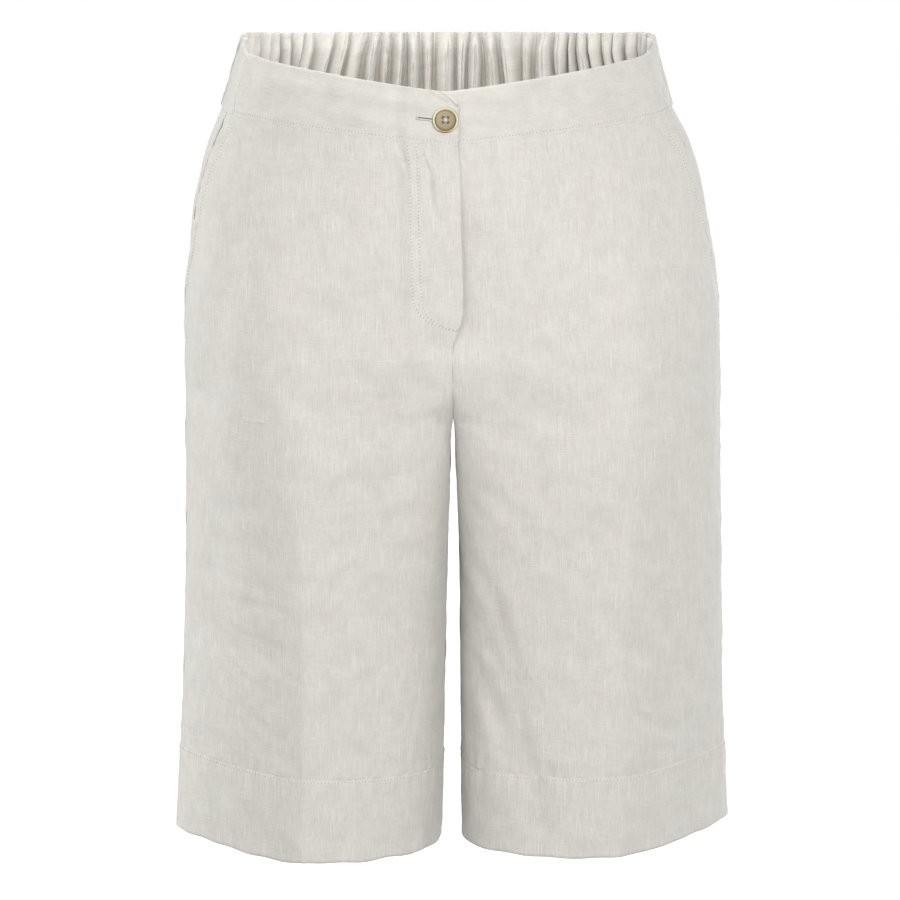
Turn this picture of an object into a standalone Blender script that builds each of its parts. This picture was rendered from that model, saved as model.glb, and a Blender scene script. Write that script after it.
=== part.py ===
"""Bermuda shorts in linen: flat front waistband, gathered back waistband, side pockets, deep hems.

Metres, +Z up. The front faces -Y and +X is the wearer's left. The origin is the middle of the
waist, level with the middle of the waistband at the sides. Right and left are the wearer's.

Each half of the shorts is one loop of cloth seen from above. The loop starts at the inner edge
of the front, runs over the front crease to the widest point of the hip, and on over the back
crease to the inner edge of the back. A place on the loop is its distance from the widest point,
negative towards the front. Above the crotch the inner edges are the centre seams. Below it the
loop closes at the inseam and becomes a leg.
"""
import math

import bmesh
import bpy
import numpy as np

RIGHT, LEFT = -1, 1
FRONT, BACK = -1, 1

# ---- cloth ---------------------------------------------------------------------------
PANEL_WALL = 0.0014
BAND_WALL = 0.0022
HEM_WALL = 0.0024
BAND_PROUD = 0.0003
HEM_PROUD = 0.0007
SEAM_GAP = 0.0003

# ---- heights, measured at the widest point of the hip -----------------------------------
BAND_TOP = 0.0145
BAND_SEAM = -0.0285
FLY_END = -0.176
FLY_TAPER = 0.007
FORK_TOP = -0.165
CROTCH = -0.267
HEM_SEAM = -0.4995
HEM_EDGE = -0.559

# ---- front closure -----------------------------------------------------------------------
LAP = 0.0075  # the right front reaches this far past the centre
UNDERLAP = 0.022  # the left front runs this far under the right one
LAP_RISE_START = 0.037  # from here to LAP_RISE_END the right front climbs over the left one
LAP_RISE_END = 0.025
LAP_CLEARANCE = 0.0005
LAP_CORNER = 0.0080

# ---- crotch, pockets, gathers, button ------------------------------------------------------
FORK_POWER = {FRONT: 4.0, BACK: 2.7}  # a higher power keeps the centre seam out longer
NOTCH_FULL = 0.6  # share of the fork's depth where the two legs have folded fully apart
CORNER = 0.014  # where the cloth turns in between the legs
OUTER_FOLD = 0.75  # share of a crease's fold that lies on its outer side
POCKET_TOP = -0.034
POCKET_END = -0.158
POCKET_GAPE = 0.0045
POCKET_LIFT = 0.0016
BEARER_DEPTH = 0.0009
BEARER_FRONT = 0.020
BEARER_BACK = 0.008
GATHERS = 22  # on each side of the centre back
GATHER_END = -0.098
BUTTON_RADIUS = 0.0094
HOLE_RADIUS = 0.00095
HOLE_CIRCLE = 0.0022
BUTTON_HEIGHT = -0.0075
BUTTON_X = -0.001

OUTLINE = (
    "height half_width sway front_z back_z side_rise front_rise sag",
    (0.0145, 0.1530, -0.0030, -0.0185, 0.0250, 0.16, 0.12, 0.0000),
    (-0.0070, 0.1590, -0.0030, -0.0370, 0.0050, 0.15, 0.11, 0.0000),
    (-0.0285, 0.1665, -0.0025, -0.0555, -0.0160, 0.13, 0.09, 0.0000),
    (-0.0535, 0.1765, -0.0010, -0.0790, -0.0440, 0.10, 0.06, 0.0000),
    (-0.0900, 0.1852, -0.0003, -0.1090, -0.0850, 0.06, 0.03, 0.0000),
    (-0.1300, 0.1912, 0.0008, -0.1430, -0.1280, 0.03, 0.01, 0.0000),
    (-0.1650, 0.1958, 0.0014, -0.1730, -0.1650, 0.01, 0.00, 0.0000),
    (-0.2670, 0.1972, 0.0022, -0.2670, -0.2670, 0.00, 0.00, 0.0000),
    (-0.3400, 0.1982, 0.0026, -0.3420, -0.3420, 0.00, 0.00, 0.0010),
    (-0.4300, 0.2002, 0.0022, -0.4345, -0.4345, 0.00, 0.00, 0.0030),
    (-0.4995, 0.2030, 0.0018, -0.5070, -0.5070, 0.00, 0.00, 0.0047),
    (-0.5590, 0.2063, 0.0014, -0.5650, -0.5650, 0.00, 0.00, 0.0065),
)

DEPTH = (
    "height front_centre front_crease back_centre back_crease",
    (0.0145, 0.1080, 0.0815, 0.1150, 0.0865),
    (-0.0285, 0.1145, 0.0905, 0.1200, 0.0940),
    (-0.0750, 0.1190, 0.1000, 0.1310, 0.1080),
    (-0.1200, 0.1215, 0.1080, 0.1375, 0.1180),
    (-0.1650, 0.1210, 0.1130, 0.1395, 0.1250),
    (-0.2100, 0.1185, 0.1150, 0.1355, 0.1285),
    (-0.2670, 0.1155, 0.1145, 0.1290, 0.1280),
    (-0.3400, 0.1090, 0.1090, 0.1190, 0.1190),
    (-0.4300, 0.1030, 0.1030, 0.1080, 0.1080),
    (-0.5590, 0.0970, 0.0970, 0.0990, 0.0990),
)

LEG = (
    "height fold half_gap right_crease left_crease right_inseam left_inseam inseam_y tilt",
    (0.0145, 0, 0.00015, 0.102, 0.102, 0.000, 0.000, 0.005, 0.0000),
    (-0.1300, 0, 0.00015, 0.106, 0.110, 0.000, 0.000, 0.005, 0.0000),
    (-0.2000, 2, 0.00015, 0.107, 0.113, 0.000, 0.000, 0.005, 0.0000),
    (-0.2670, 8, 0.00015, 0.107, 0.116, 0.000, 0.000, 0.005, 0.0000),
    (-0.3000, 12, 0.00260, 0.107, 0.117, 0.001, 0.004, 0.004, 0.0000),
    (-0.3500, 16, 0.00480, 0.107, 0.119, 0.003, 0.010, 0.003, 0.0005),
    (-0.4300, 22, 0.00570, 0.107, 0.120, 0.004, 0.016, 0.002, 0.0010),
    (-0.4995, 25, 0.00670, 0.107, 0.121, 0.004, 0.020, 0.001, 0.0015),
    (-0.5590, 27, 0.00770, 0.107, 0.121, 0.005, 0.024, 0.000, 0.0040),
)

# How round the cloth is from the side to the crease and from the crease inwards, and how deep
# its corner between the legs is before it runs straight back to the seam.
ROUNDNESS = (
    "height side inner corner",
    (0.0145, 0.22, 0.22, 0.000),
    (-0.1300, 0.22, 0.22, 0.000),
    (-0.2000, 0.20, 0.30, 0.003),
    (-0.2670, 0.14, 0.46, 0.034),
    (-0.3000, 0.09, 0.42, 0.056),
    (-0.3500, 0.04, 0.36, 0.090),
    (-0.4300, 0.00, 0.30, 0.130),
    (-0.5590, -0.05, 0.25, 0.130),
)

SIDE_SEAM = (
    "height panels right_band left_band",
    (0.0145, 0.030, 0.036, 0.024),
    (-0.0285, 0.028, 0.046, 0.028),
    (-0.0900, 0.024, 0.046, 0.028),
    (-0.1650, 0.016, 0.046, 0.028),
    (-0.2670, 0.008, 0.046, 0.028),
    (-0.5590, 0.005, 0.046, 0.028),
)

GATHER_DEPTH = (
    "height depth",
    (0.0145, 0.0009),
    (0.0000, 0.0017),
    (-0.0285, 0.0016),
    (-0.0600, 0.0011),
    (-0.0980, 0.0003),
    (-0.1300, 0.0000),
)

# Soft troughs in the cloth, each along a straight line seen from the front or the back.
FOLDS = (
    "face x_from z_from x_to z_to width depth",
    (FRONT, -0.152, -0.110, -0.176, -0.235, 0.013, 0.0024),
    (FRONT, -0.176, -0.235, -0.172, -0.420, 0.014, 0.0020),
    (FRONT, -0.030, -0.225, -0.080, -0.250, 0.013, 0.0016),
    (FRONT, -0.185, -0.405, -0.120, -0.425, 0.012, 0.0015),
    (FRONT, 0.032, -0.228, 0.082, -0.252, 0.013, 0.0014),
    (FRONT, 0.026, -0.400, 0.064, -0.545, 0.013, 0.0028),
    (FRONT, 0.160, -0.150, 0.176, -0.300, 0.014, 0.0018),
    (BACK, -0.128, -0.130, -0.140, -0.330, 0.016, 0.0020),
    (BACK, 0.136, -0.120, 0.146, -0.290, 0.016, 0.0018),
    (BACK, -0.058, -0.300, -0.072, -0.470, 0.015, 0.0022),
    (BACK, 0.150, -0.350, 0.070, -0.450, 0.015, 0.0018),
    (BACK, 0.046, -0.290, 0.060, -0.420, 0.015, 0.0020),
)


def smooth_curve(x, knots, values):
    """Cubic through the points (knots, values) that never overshoots them; knots rise."""
    step = np.diff(knots)
    rise = np.diff(values) / step
    pairs = rise[:-1] + rise[1:]
    turning = rise[:-1] * rise[1:] <= 0
    slope = np.empty(len(knots))
    slope[0], slope[-1] = rise[0], rise[-1]
    slope[1:-1] = np.where(turning, 0, 2 * rise[:-1] * rise[1:] / np.where(turning, 1, pairs))
    i = np.clip(np.searchsorted(knots, x) - 1, 0, len(step) - 1)
    t = np.clip((x - knots[i]) / step[i], 0, 1)
    start = values[i] * (1 + 2 * t) * (1 - t) ** 2 + slope[i] * step[i] * t * (1 - t) ** 2
    end = values[i + 1] * t * t * (3 - 2 * t) - slope[i + 1] * step[i] * t * t * (1 - t)
    return start + end


def read(table, height):
    """The columns of a table at a height, by name."""
    names = table[0].split()
    rows = np.array(table[:0:-1])
    return {name: float(smooth_curve(np.float64(height), rows[:, 0], rows[:, k]))
            for k, name in enumerate(names)}


def direction(degrees):
    """Unit vector in plan that heads inwards, climbing outwards by an angle."""
    return np.array([-math.cos(math.radians(degrees)), math.sin(math.radians(degrees))])


def arc(start, start_angle, end, end_angle, fullness=0.22, points=25):
    """Smooth stretch of the loop between two points with given headings, as points and normals.

    A cubic Bezier curve. With the given fullness its handles make a quarter turn an ellipse, and
    more makes it squarer. The last handle is cut short where it would bulge past the start.
    """
    heading, arrival = direction(start_angle), direction(end_angle)
    reach = 1 / 3 + fullness * abs(start_angle - end_angle) / 90
    first = start + heading * reach * np.dot(end - start, heading)
    last_length = reach * np.dot(end - start, arrival)
    if end_angle < -1 and start_angle < 60:
        last_length = min(last_length, 0.9 * max(start[1] - end[1], 0) / -arrival[1])
    last = end - arrival * last_length
    t = np.linspace(0, 1, points)[:, None]
    s = 1 - t
    path = s ** 3 * start + 3 * s * s * t * first + 3 * s * t * t * last + t ** 3 * end
    along = s * s * (first - start) + 2 * s * t * (last - first) + t * t * (end - last)
    along[0] = heading
    along[-1] = arrival if last_length > 1e-6 else along[-2]
    along /= np.linalg.norm(along, axis=1)[:, None]
    normals = np.stack([along[:, 1], -along[:, 0]], axis=1)
    return path, normals


def face_arc(side, face, height):
    """One face of the half loop, from the widest point over the crease to the inner edge."""
    outline = read(OUTLINE, height)
    depth = read(DEPTH, height)
    leg = read(LEG, height)
    roundness = read(ROUNDNESS, height)
    name = "front" if face == FRONT else "back"
    centre, crease_depth = depth[name + "_centre"], depth[name + "_crease"]
    crease_x = leg["right_crease" if side == RIGHT and face == FRONT else "left_crease"]
    if face == BACK:
        crease_x = leg["right_crease"]
    fork = min(max((FORK_TOP - height) / (FORK_TOP - CROTCH), 0), 1)
    seam_depth = face * leg["inseam_y"]
    power = FORK_POWER[face]
    inner_depth = seam_depth + (centre - seam_depth) * (1 - fork ** power) ** (1 / power)
    apart = min(fork / NOTCH_FULL, 1)
    notch = apart * apart * (3 - 2 * apart)
    slope = 1.9 * math.degrees(math.atan2(centre - crease_depth, crease_x))
    widest = np.array([outline["half_width"], 0.0])
    crease = np.array([crease_x, crease_depth])
    inner = np.array([leg["half_gap"], inner_depth])
    corner = inner.copy()
    drop = crease_depth - inner_depth
    if drop > 0 and roundness["corner"] > 0:
        corner[1] = crease_depth - drop / (1 + (drop / roundness["corner"]) ** 3) ** (1 / 3)
    outer_end = slope + OUTER_FOLD * leg["fold"]
    inner_start = slope - (1 - OUTER_FOLD) * leg["fold"]
    outer_path, outer_normals = arc(widest, 90, crease, outer_end, roundness["side"])
    inner_path, inner_normals = arc(crease, inner_start, corner, -90 * notch, roundness["inner"])
    at_crease = outer_normals[-1] + inner_normals[0]
    outer_normals[-1] = at_crease / np.linalg.norm(at_crease)
    path = np.concatenate([outer_path, inner_path[1:]])
    normals = np.concatenate([outer_normals, inner_normals[1:]])
    if corner[1] - inner[1] > 1e-4:
        back_to_seam = np.linspace(corner, inner, 13)[1:]
        path = np.concatenate([path, back_to_seam])
        normals = np.concatenate([normals, np.tile([-1.0, 0.0], (12, 1))])
    distance = np.concatenate([[0], np.cumsum(np.linalg.norm(np.diff(path, axis=0), axis=1))])
    return path, normals, distance, distance[len(outer_path) - 1], crease_x


class Loop:
    """The half loop of one side at one height, with the places along it that pieces use."""

    def __init__(self, side, height):
        self.side = side
        self.outline = read(OUTLINE, height)
        self.outline["height"] += side * read(LEG, height)["tilt"]
        front, front_normals, front_distance, front_crease, front_x = face_arc(side, FRONT, height)
        back, back_normals, back_distance, back_crease, back_x = face_arc(side, BACK, height)
        self.front_crease, self.back_crease = front_crease, back_crease
        self.crease_x = {FRONT: front_x, BACK: back_x}
        self.front_end = front_distance[-1]
        self.back_end = back_distance[-1]
        seam = read(SIDE_SEAM, height)
        leg = read(LEG, height)
        self.panel_seam = seam["panels"]
        self.band_seam = seam["right_band" if side == RIGHT else "left_band"]
        self.inseam = leg["right_inseam" if side == RIGHT else "left_inseam"]
        flip = np.array([1, -1])
        place = np.concatenate([-front_distance[:0:-1], back_distance])
        path = np.concatenate([front[:0:-1] * flip, back])
        normals = np.concatenate([front_normals[:0:-1] * flip, back_normals])
        if height < CROTCH:
            girth = self.front_end + self.back_end
            place = np.concatenate([place[-20:-1] - girth, place, place[1:20] + girth])
            path = np.concatenate([path[-20:-1], path, path[1:20]])
            normals = np.concatenate([normals[-20:-1], normals, normals[1:20]])
        else:
            mirror = np.array([-1, 1])
            place = np.concatenate([2 * place[0] - place[10:0:-1], place])
            path = np.concatenate([path[10:0:-1] * mirror, path])
            normals = np.concatenate([normals[10:0:-1] * mirror, normals])
        self.place, self.path, self.normals = place, path, normals

    def height_at(self, place):
        """Height along the loop: a cubic from the side to each inner edge, sagging between them."""
        outline = self.outline
        girth = self.front_end + self.back_end
        place = np.where(place < -self.front_end - 0.031, place + girth, place)
        place = np.where(place > self.back_end + 0.031, place - girth, place)
        rise = outline["side_rise"]
        length = np.where(place < 0, self.front_end, self.back_end)
        end = np.where(place < 0, outline["front_z"], outline["back_z"])
        start_slope = np.where(place < 0, -rise, rise) * length
        end_slope = np.where(place < 0, -outline["front_rise"], 0) * length
        t = np.clip(np.abs(place) / length, 0, 1)
        start_part = outline["height"] * (1 + 2 * t) * (1 - t) ** 2 + start_slope * t * (1 - t) ** 2
        level = start_part + end * t * t * (3 - 2 * t) - end_slope * t * t * (1 - t)
        return level - outline["sag"] * np.sin(math.pi * t) ** 2

    def points(self, place, lift, drop=0.0):
        """World points at places along the loop, lifted outwards along the loop's normals."""
        x = np.interp(place, self.place, self.path[:, 0])
        y = np.interp(place, self.place, self.path[:, 1])
        normal_x = np.interp(place, self.place, self.normals[:, 0])
        normal_y = np.interp(place, self.place, self.normals[:, 1])
        unit = np.hypot(normal_x, normal_y)
        z = self.height_at(np.asarray(place, float))
        world_x = self.side * x + self.outline["sway"]
        lift = lift - fold_depth(world_x, y, z)
        world_x = world_x + self.side * normal_x / unit * lift
        return np.stack([world_x, y + normal_y / unit * lift, z + drop], axis=1)


def fold_depth(x, y, z):
    """Depth of the soft troughs at world points: a bell across each line, fading at its ends."""
    depth = np.zeros(len(x))
    for face, x_from, z_from, x_to, z_to, width, deepest in FOLDS[1:]:
        run = np.array([x_to - x_from, z_to - z_from])
        length = np.linalg.norm(run)
        run /= length
        along = (x - x_from) * run[0] + (z - z_from) * run[1]
        across = (x - x_from) * run[1] - (z - z_from) * run[0]
        outside = np.maximum(np.maximum(-along, along - length), 0)
        facing = np.clip(face * y / 0.03, 0, 1)
        depth += deepest * facing * np.exp(-(across ** 2 + outside ** 2) / width ** 2)
    return depth


def gather_phase(fraction, side):
    """Gathers counted from the side to a fraction of the way to the centre back, unevenly."""
    slow, quick = (5, 13) if side == RIGHT else (4, 11)
    return (GATHERS * fraction + 0.32 * np.sin(math.pi * slow * fraction)
            + 0.14 * np.sin(math.pi * quick * fraction))


def gather_places(side):
    """Fractions of the way to the centre back of each trough, ridge and the midpoints between."""
    fraction = np.linspace(0, 1, 2001)
    phase = np.linspace(0, GATHERS, 4 * GATHERS + 1)
    return np.interp(phase, gather_phase(fraction, side), fraction), phase


def gather_lift(side, height):
    """Lift of the cloth at each of the gather places at a height."""
    fraction, phase = gather_places(side)
    uneven = 1 - 0.4 * np.sin(1.7 * phase + side) ** 2
    fade = np.clip(fraction / 0.08, 0, 1)
    return -read(GATHER_DEPTH, height)["depth"] * uneven * fade * np.cos(2 * math.pi * phase)


# ---- meshes ------------------------------------------------------------------------------
def grid_faces(rows, columns, closed=False):
    """Triangles between the rows of a grid of points, whose columns may close on themselves."""
    cells = np.arange(columns if closed else columns - 1)
    row, column = np.meshgrid(np.arange(rows - 1), cells, indexing="ij")
    here = (row * columns + column).ravel()
    right = (row * columns + (column + 1) % columns).ravel()
    lower, lower_right = here + columns, right + columns
    upper_half = np.stack([here, lower, right], axis=1)
    lower_half = np.stack([right, lower, lower_right], axis=1)
    return np.concatenate([upper_half, lower_half])


def shell(outer, inner, faces):
    """Closed wall between two sheets of points that share their faces, with a rim at each edge."""
    count = len(outer)
    faces = [tuple(int(k) for k in face) for face in faces]
    directed = {(face[i], face[(i + 1) % 3]) for face in faces for i in range(3)}
    rims = [(a, b) for a, b in directed if (b, a) not in directed]
    triangles = list(faces)
    triangles += [tuple(k + count for k in reversed(face)) for face in faces]
    for a, b in sorted(rims):
        triangles += [(b, a, a + count), (b, a + count, b + count)]
    return np.concatenate([outer, inner]), triangles


def add_object(name, vertices, faces, material):
    """Link a new object whose faces point outwards."""
    mesh = bpy.data.meshes.new(name)
    mesh.from_pydata([tuple(v) for v in vertices], [], faces)
    work = bmesh.new()
    work.from_mesh(mesh)
    bmesh.ops.recalc_face_normals(work, faces=work.faces)
    work.to_mesh(mesh)
    work.free()
    mesh.materials.append(material)
    mesh.shade_smooth()
    mesh.set_sharp_from_angle(angle=math.radians(40))
    piece = bpy.data.objects.new(name, mesh)
    bpy.context.scene.collection.objects.link(piece)
    return piece


def new_material(name, colour, roughness):
    """Plain material in a piece's own colour."""
    material = bpy.data.materials.new(name)
    material.use_nodes = True
    shader = material.node_tree.nodes["Principled BSDF"]
    shader.inputs["Base Color"].default_value = (*colour, 1)
    shader.inputs["Roughness"].default_value = roughness
    shader.inputs["Metallic"].default_value = 0
    return material


# ---- rows and columns of the panels --------------------------------------------------------
def panel_heights():
    """Heights of the rows from the band seam to the hem seam, closest together at the fork."""
    gathers = np.linspace(BAND_SEAM, GATHER_END, 4)
    hip = np.linspace(GATHER_END, FLY_END, 4)[1:]
    turn = np.radians(np.linspace(0, 90, 8))[2:]
    fork = FORK_TOP - (FORK_TOP - CROTCH) * np.sin(turn)
    leg = np.linspace(CROTCH, HEM_SEAM, 7)[1:]
    return np.concatenate([gathers, hip, [FLY_END - FLY_TAPER], fork, leg])


def inner_places(crease, crease_x, end):
    """Places from a crease to the inner edge: even to the corner, then closest together there."""
    corner = crease + min(end - crease - CORNER, crease_x - CORNER / 2)
    return np.concatenate([np.linspace(crease, corner, 9)[1:],
                           corner + (end - corner) * np.linspace(0, 1, 5)[1:] ** 1.5])


def front_places(loop, seam, beyond):
    """Places of the front columns: side edge, crease, and inner edge past the centre seam."""
    inner = inner_places(loop.front_crease, loop.crease_x[FRONT], loop.front_end - loop.inseam)
    places = np.concatenate([np.linspace(-seam, loop.front_crease, 11), inner])
    places[-1] += beyond
    return -places


def lap_lift(loop, place, rise):
    """Lift of the right front where it climbs over the left one beside the closure."""
    from_centre = place + loop.front_end
    t = np.clip((LAP_RISE_START - from_centre) / (LAP_RISE_START - LAP_RISE_END), 0, 1)
    return rise * t * t * (3 - 2 * t)


def pocket_opening(height):
    """How far the pocket's mouth is open at a height, from 0 to 1: widest in its upper third."""
    t = np.clip((POCKET_TOP - height) / (POCKET_TOP - POCKET_END), 0, 1)
    return 0.0 if t <= 0 or t >= 1 else float(np.sin(math.pi * t ** 0.6))


def row_drop(height):
    """Seam allowance that keeps a panel's first and last rows clear of the band and the hem."""
    if height == BAND_SEAM:
        return -SEAM_GAP / 2
    return SEAM_GAP / 2 if height == HEM_SEAM else 0.0


def make_front(side, name, material):
    """Front panel: side seam to centre front and inseam, with the fly's lap or underlap."""
    outer, inner = [], []
    for height in panel_heights():
        loop = Loop(side, height)
        opening = pocket_opening(height)
        fly = height > FLY_END - FLY_TAPER / 2
        beyond = (LAP if side == RIGHT else UNDERLAP) if fly else -SEAM_GAP / 2
        if height > CROTCH and not fly:
            beyond = 0.0
        seam = -loop.panel_seam - SEAM_GAP / 2 - POCKET_GAPE * opening
        place = front_places(loop, seam, beyond)
        lift = POCKET_LIFT * opening * np.exp((place - seam) / 0.011)
        if side == RIGHT and height > FLY_END - 1.5 * FLY_TAPER:
            lift = lift + lap_lift(loop, place, PANEL_WALL + LAP_CLEARANCE)
        outer.append(loop.points(place, lift, row_drop(height)))
        inner.append(loop.points(place, lift - PANEL_WALL, row_drop(height)))
    faces = grid_faces(len(outer), len(outer[0]))
    vertices, triangles = shell(np.concatenate(outer), np.concatenate(inner), faces)
    return add_object(name, vertices, triangles, material)


def back_places(loop, side, height, edge):
    """Places of the back columns, at the gathers' spacing above and from crease to seam below."""
    fraction, _ = gather_places(side)
    gathered = np.concatenate([np.linspace(-edge, 0, 3)[:2], loop.back_end * fraction])
    if height >= GATHER_END:
        return gathered
    gathered = np.concatenate([gathered[:2], gathered[2::4]])
    inner = inner_places(loop.back_crease, loop.crease_x[BACK], loop.back_end + loop.inseam)
    even = np.concatenate([np.linspace(-edge, loop.back_crease, len(gathered) - len(inner)), inner])
    t = min((GATHER_END - height) / (GATHER_END - FORK_TOP), 1)
    return gathered * (1 - t) + even * t


def make_back(side, name, material):
    """Back panel: side seam to centre back and inseam, gathered where it joins the band."""
    fine_outer, fine_inner, outer, inner = [], [], [], []
    for height in panel_heights():
        loop = Loop(side, height)
        place = back_places(loop, side, height, loop.panel_seam - SEAM_GAP / 2)
        gathered = height >= GATHER_END
        lift = np.zeros(len(place))
        if gathered:
            lift[2:] = gather_lift(side, height)
        if height < CROTCH:
            place[-1] -= SEAM_GAP / 2
        outside = loop.points(place, lift, row_drop(height))
        inside = loop.points(place, lift - PANEL_WALL, row_drop(height))
        (fine_outer if gathered else outer).append(outside)
        (fine_inner if gathered else inner).append(inside)
    columns, fine_columns = len(outer[0]), len(fine_outer[0])
    faces = [grid_faces(len(fine_outer), fine_columns)]
    last_fine = (len(fine_outer) - 1) * fine_columns
    below = len(fine_outer) * fine_columns
    joins = []
    for k in range(columns - 1):
        a = last_fine + (k if k < 2 else 2 + 4 * (k - 2))
        low, low_next = below + k, below + k + 1
        if k < 2:
            joins += [(a, low, a + 1), (a + 1, low, low_next)]
        else:
            joins += [(a, low, a + 1), (a + 1, low, a + 2), (a + 2, low, low_next)]
            joins += [(a + 2, low_next, a + 3), (a + 3, low_next, a + 4)]
    faces += [np.array(joins), grid_faces(len(outer), columns) + below]
    outside = np.concatenate(fine_outer + outer)
    inside = np.concatenate(fine_inner + inner)
    vertices, triangles = shell(outside, inside, np.concatenate(faces))
    return add_object(name, vertices, triangles, material)


# ---- waistband -----------------------------------------------------------------------------
def make_front_band(side, name, material):
    """Flat half of the front waistband, whose right end laps over the left one."""
    outer, inner = [], []
    for height in np.linspace(BAND_TOP, BAND_SEAM, 4):
        loop = Loop(side, height)
        from_top = loop.height_at(-loop.front_end) - Loop(side, BAND_TOP).height_at(-loop.front_end)
        corner = max(LAP_CORNER + from_top, 0) ** 2 / (2 * LAP_CORNER)
        beyond = LAP - corner if side == RIGHT else UNDERLAP
        place = front_places(loop, -loop.band_seam - SEAM_GAP / 2, beyond)
        lift = np.full(len(place), BAND_PROUD)
        if side == RIGHT:
            lift = lift + lap_lift(loop, place, BAND_WALL + LAP_CLEARANCE)
        drop = SEAM_GAP / 2 if height == BAND_SEAM else 0.0
        outer.append(loop.points(place, lift, drop))
        inner.append(loop.points(place, lift - BAND_WALL, drop))
    faces = grid_faces(len(outer), len(outer[0]))
    vertices, triangles = shell(np.concatenate(outer), np.concatenate(inner), faces)
    return add_object(name, vertices, triangles, material)


def make_back_band(name, material):
    """Back waistband in one piece, gathered on its elastic from side seam to side seam."""
    outer, inner = [], []
    for height in np.linspace(BAND_TOP, BAND_SEAM, 4):
        drop = SEAM_GAP / 2 if height == BAND_SEAM else 0.0
        halves = []
        for side in (RIGHT, LEFT):
            loop = Loop(side, height)
            fraction, _ = gather_places(side)
            edge = loop.band_seam - SEAM_GAP / 2
            place = np.concatenate([np.linspace(-edge, 0, 5)[:4], loop.back_end * fraction])
            lift = np.full(len(place), BAND_PROUD)
            lift[4:] += gather_lift(side, height)
            outside = loop.points(place, lift, drop)
            halves.append((outside, loop.points(place, lift - BAND_WALL, drop)))
        (right_outer, right_inner), (left_outer, left_inner) = halves
        outer.append(np.concatenate([right_outer, left_outer[-2::-1]]))
        inner.append(np.concatenate([right_inner, left_inner[-2::-1]]))
    faces = grid_faces(len(outer), len(outer[0]))
    vertices, triangles = shell(np.concatenate(outer), np.concatenate(inner), faces)
    return add_object(name, vertices, triangles, material)


# ---- hems, pockets, button -------------------------------------------------------------------
def make_hem(side, name, material):
    """Ring of doubled cloth at the bottom of a leg, a little proud of the panels above it."""
    outer, inner = [], []
    for height in np.linspace(HEM_SEAM, HEM_EDGE, 4):
        loop = Loop(side, height)
        front = front_places(loop, -loop.panel_seam, 0.0)
        back = back_places(loop, side, height, loop.panel_seam)
        place = np.concatenate([front, back[-2:0:-1]])
        lift = np.full(len(place), HEM_PROUD)
        drop = -SEAM_GAP / 2 if height == HEM_SEAM else 0.0
        outer.append(loop.points(place, lift, drop))
        inner.append(loop.points(place, lift - HEM_WALL, drop))
    faces = grid_faces(len(outer), len(outer[0]), closed=True)
    vertices, triangles = shell(np.concatenate(outer), np.concatenate(inner), faces)
    return add_object(name, vertices, triangles, material)


def make_bearer(side, name, material):
    """Strip of cloth behind the mouth of a side pocket."""
    outer, inner = [], []
    for height in np.linspace(POCKET_TOP - 0.004, POCKET_END, 9):
        loop = Loop(side, height)
        place = np.linspace(-loop.panel_seam - BEARER_FRONT, -loop.panel_seam + BEARER_BACK, 5)
        outer.append(loop.points(place, -PANEL_WALL - BEARER_DEPTH))
        inner.append(loop.points(place, -2 * PANEL_WALL - BEARER_DEPTH))
    faces = grid_faces(len(outer), len(outer[0]))
    vertices, triangles = shell(np.concatenate(outer), np.concatenate(inner), faces)
    return add_object(name, vertices, triangles, material)


def make_button(name, material):
    """Turned button with a rounded rim, a sunk face and four holes, seated on the band's end."""
    profile = np.array([
        (0.0, 0.00175), (0.62, 0.00175), (0.72, 0.0021), (0.80, 0.0030), (0.89, 0.0034),
        (0.97, 0.0030), (1.0, 0.0022), (0.97, 0.0010), (0.80, 0.0002), (0.60, 0.0), (0.0, 0.0)])
    work = bmesh.new()
    ring = [work.verts.new((r * BUTTON_RADIUS, 0, z)) for r, z in profile]
    edges = [work.edges.new(pair) for pair in zip(ring[:-1], ring[1:])]
    bmesh.ops.spin(work, geom=ring + edges, cent=(0, 0, 0), axis=(0, 0, 1), angle=math.tau,
                   steps=32, use_duplicate=False)
    bmesh.ops.remove_doubles(work, verts=work.verts, dist=1e-6)
    bmesh.ops.recalc_face_normals(work, faces=work.faces)
    mesh = bpy.data.meshes.new(name)
    work.to_mesh(mesh)
    work.free()
    mesh.materials.append(material)
    mesh.shade_smooth()
    mesh.set_sharp_from_angle(angle=math.radians(40))
    button = bpy.data.objects.new(name, mesh)
    bpy.context.scene.collection.objects.link(button)
    for k in range(4):
        turn = math.radians(45 + 90 * k)
        centre = (HOLE_CIRCLE * math.cos(turn), HOLE_CIRCLE * math.sin(turn), 0)
        hole = bpy.data.meshes.new("hole_cutter")
        drill = bmesh.new()
        bmesh.ops.create_cone(drill, cap_ends=True, segments=12, radius1=HOLE_RADIUS,
                              radius2=HOLE_RADIUS, depth=BUTTON_RADIUS)
        bmesh.ops.translate(drill, verts=drill.verts, vec=centre)
        drill.to_mesh(hole)
        drill.free()
        cutter = bpy.data.objects.new("hole_cutter", hole)
        bpy.context.scene.collection.objects.link(cutter)
        cutter.hide_render = True
        cutter.display_type = "WIRE"
        cutter.parent = button
        cut = button.modifiers.new("hole", "BOOLEAN")
        cut.operation = "DIFFERENCE"
        cut.object = cutter
    loop = Loop(RIGHT, BUTTON_HEIGHT + 0.012)
    lower = Loop(RIGHT, BUTTON_HEIGHT)
    lift = BAND_PROUD + BAND_WALL + LAP_CLEARANCE
    place = np.array([-loop.front_end - BUTTON_X])
    above = loop.points(place, lift)[0]
    seat = lower.points(np.array([-lower.front_end - BUTTON_X]), lift)[0]
    tilt = math.atan2(above[1] - seat[1], above[2] - seat[2])
    button.rotation_euler = (math.pi / 2 - tilt, 0, 0)
    normal = np.array([0, -math.cos(tilt), math.sin(tilt)])
    button.location = seat + normal * SEAM_GAP
    return button


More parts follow.
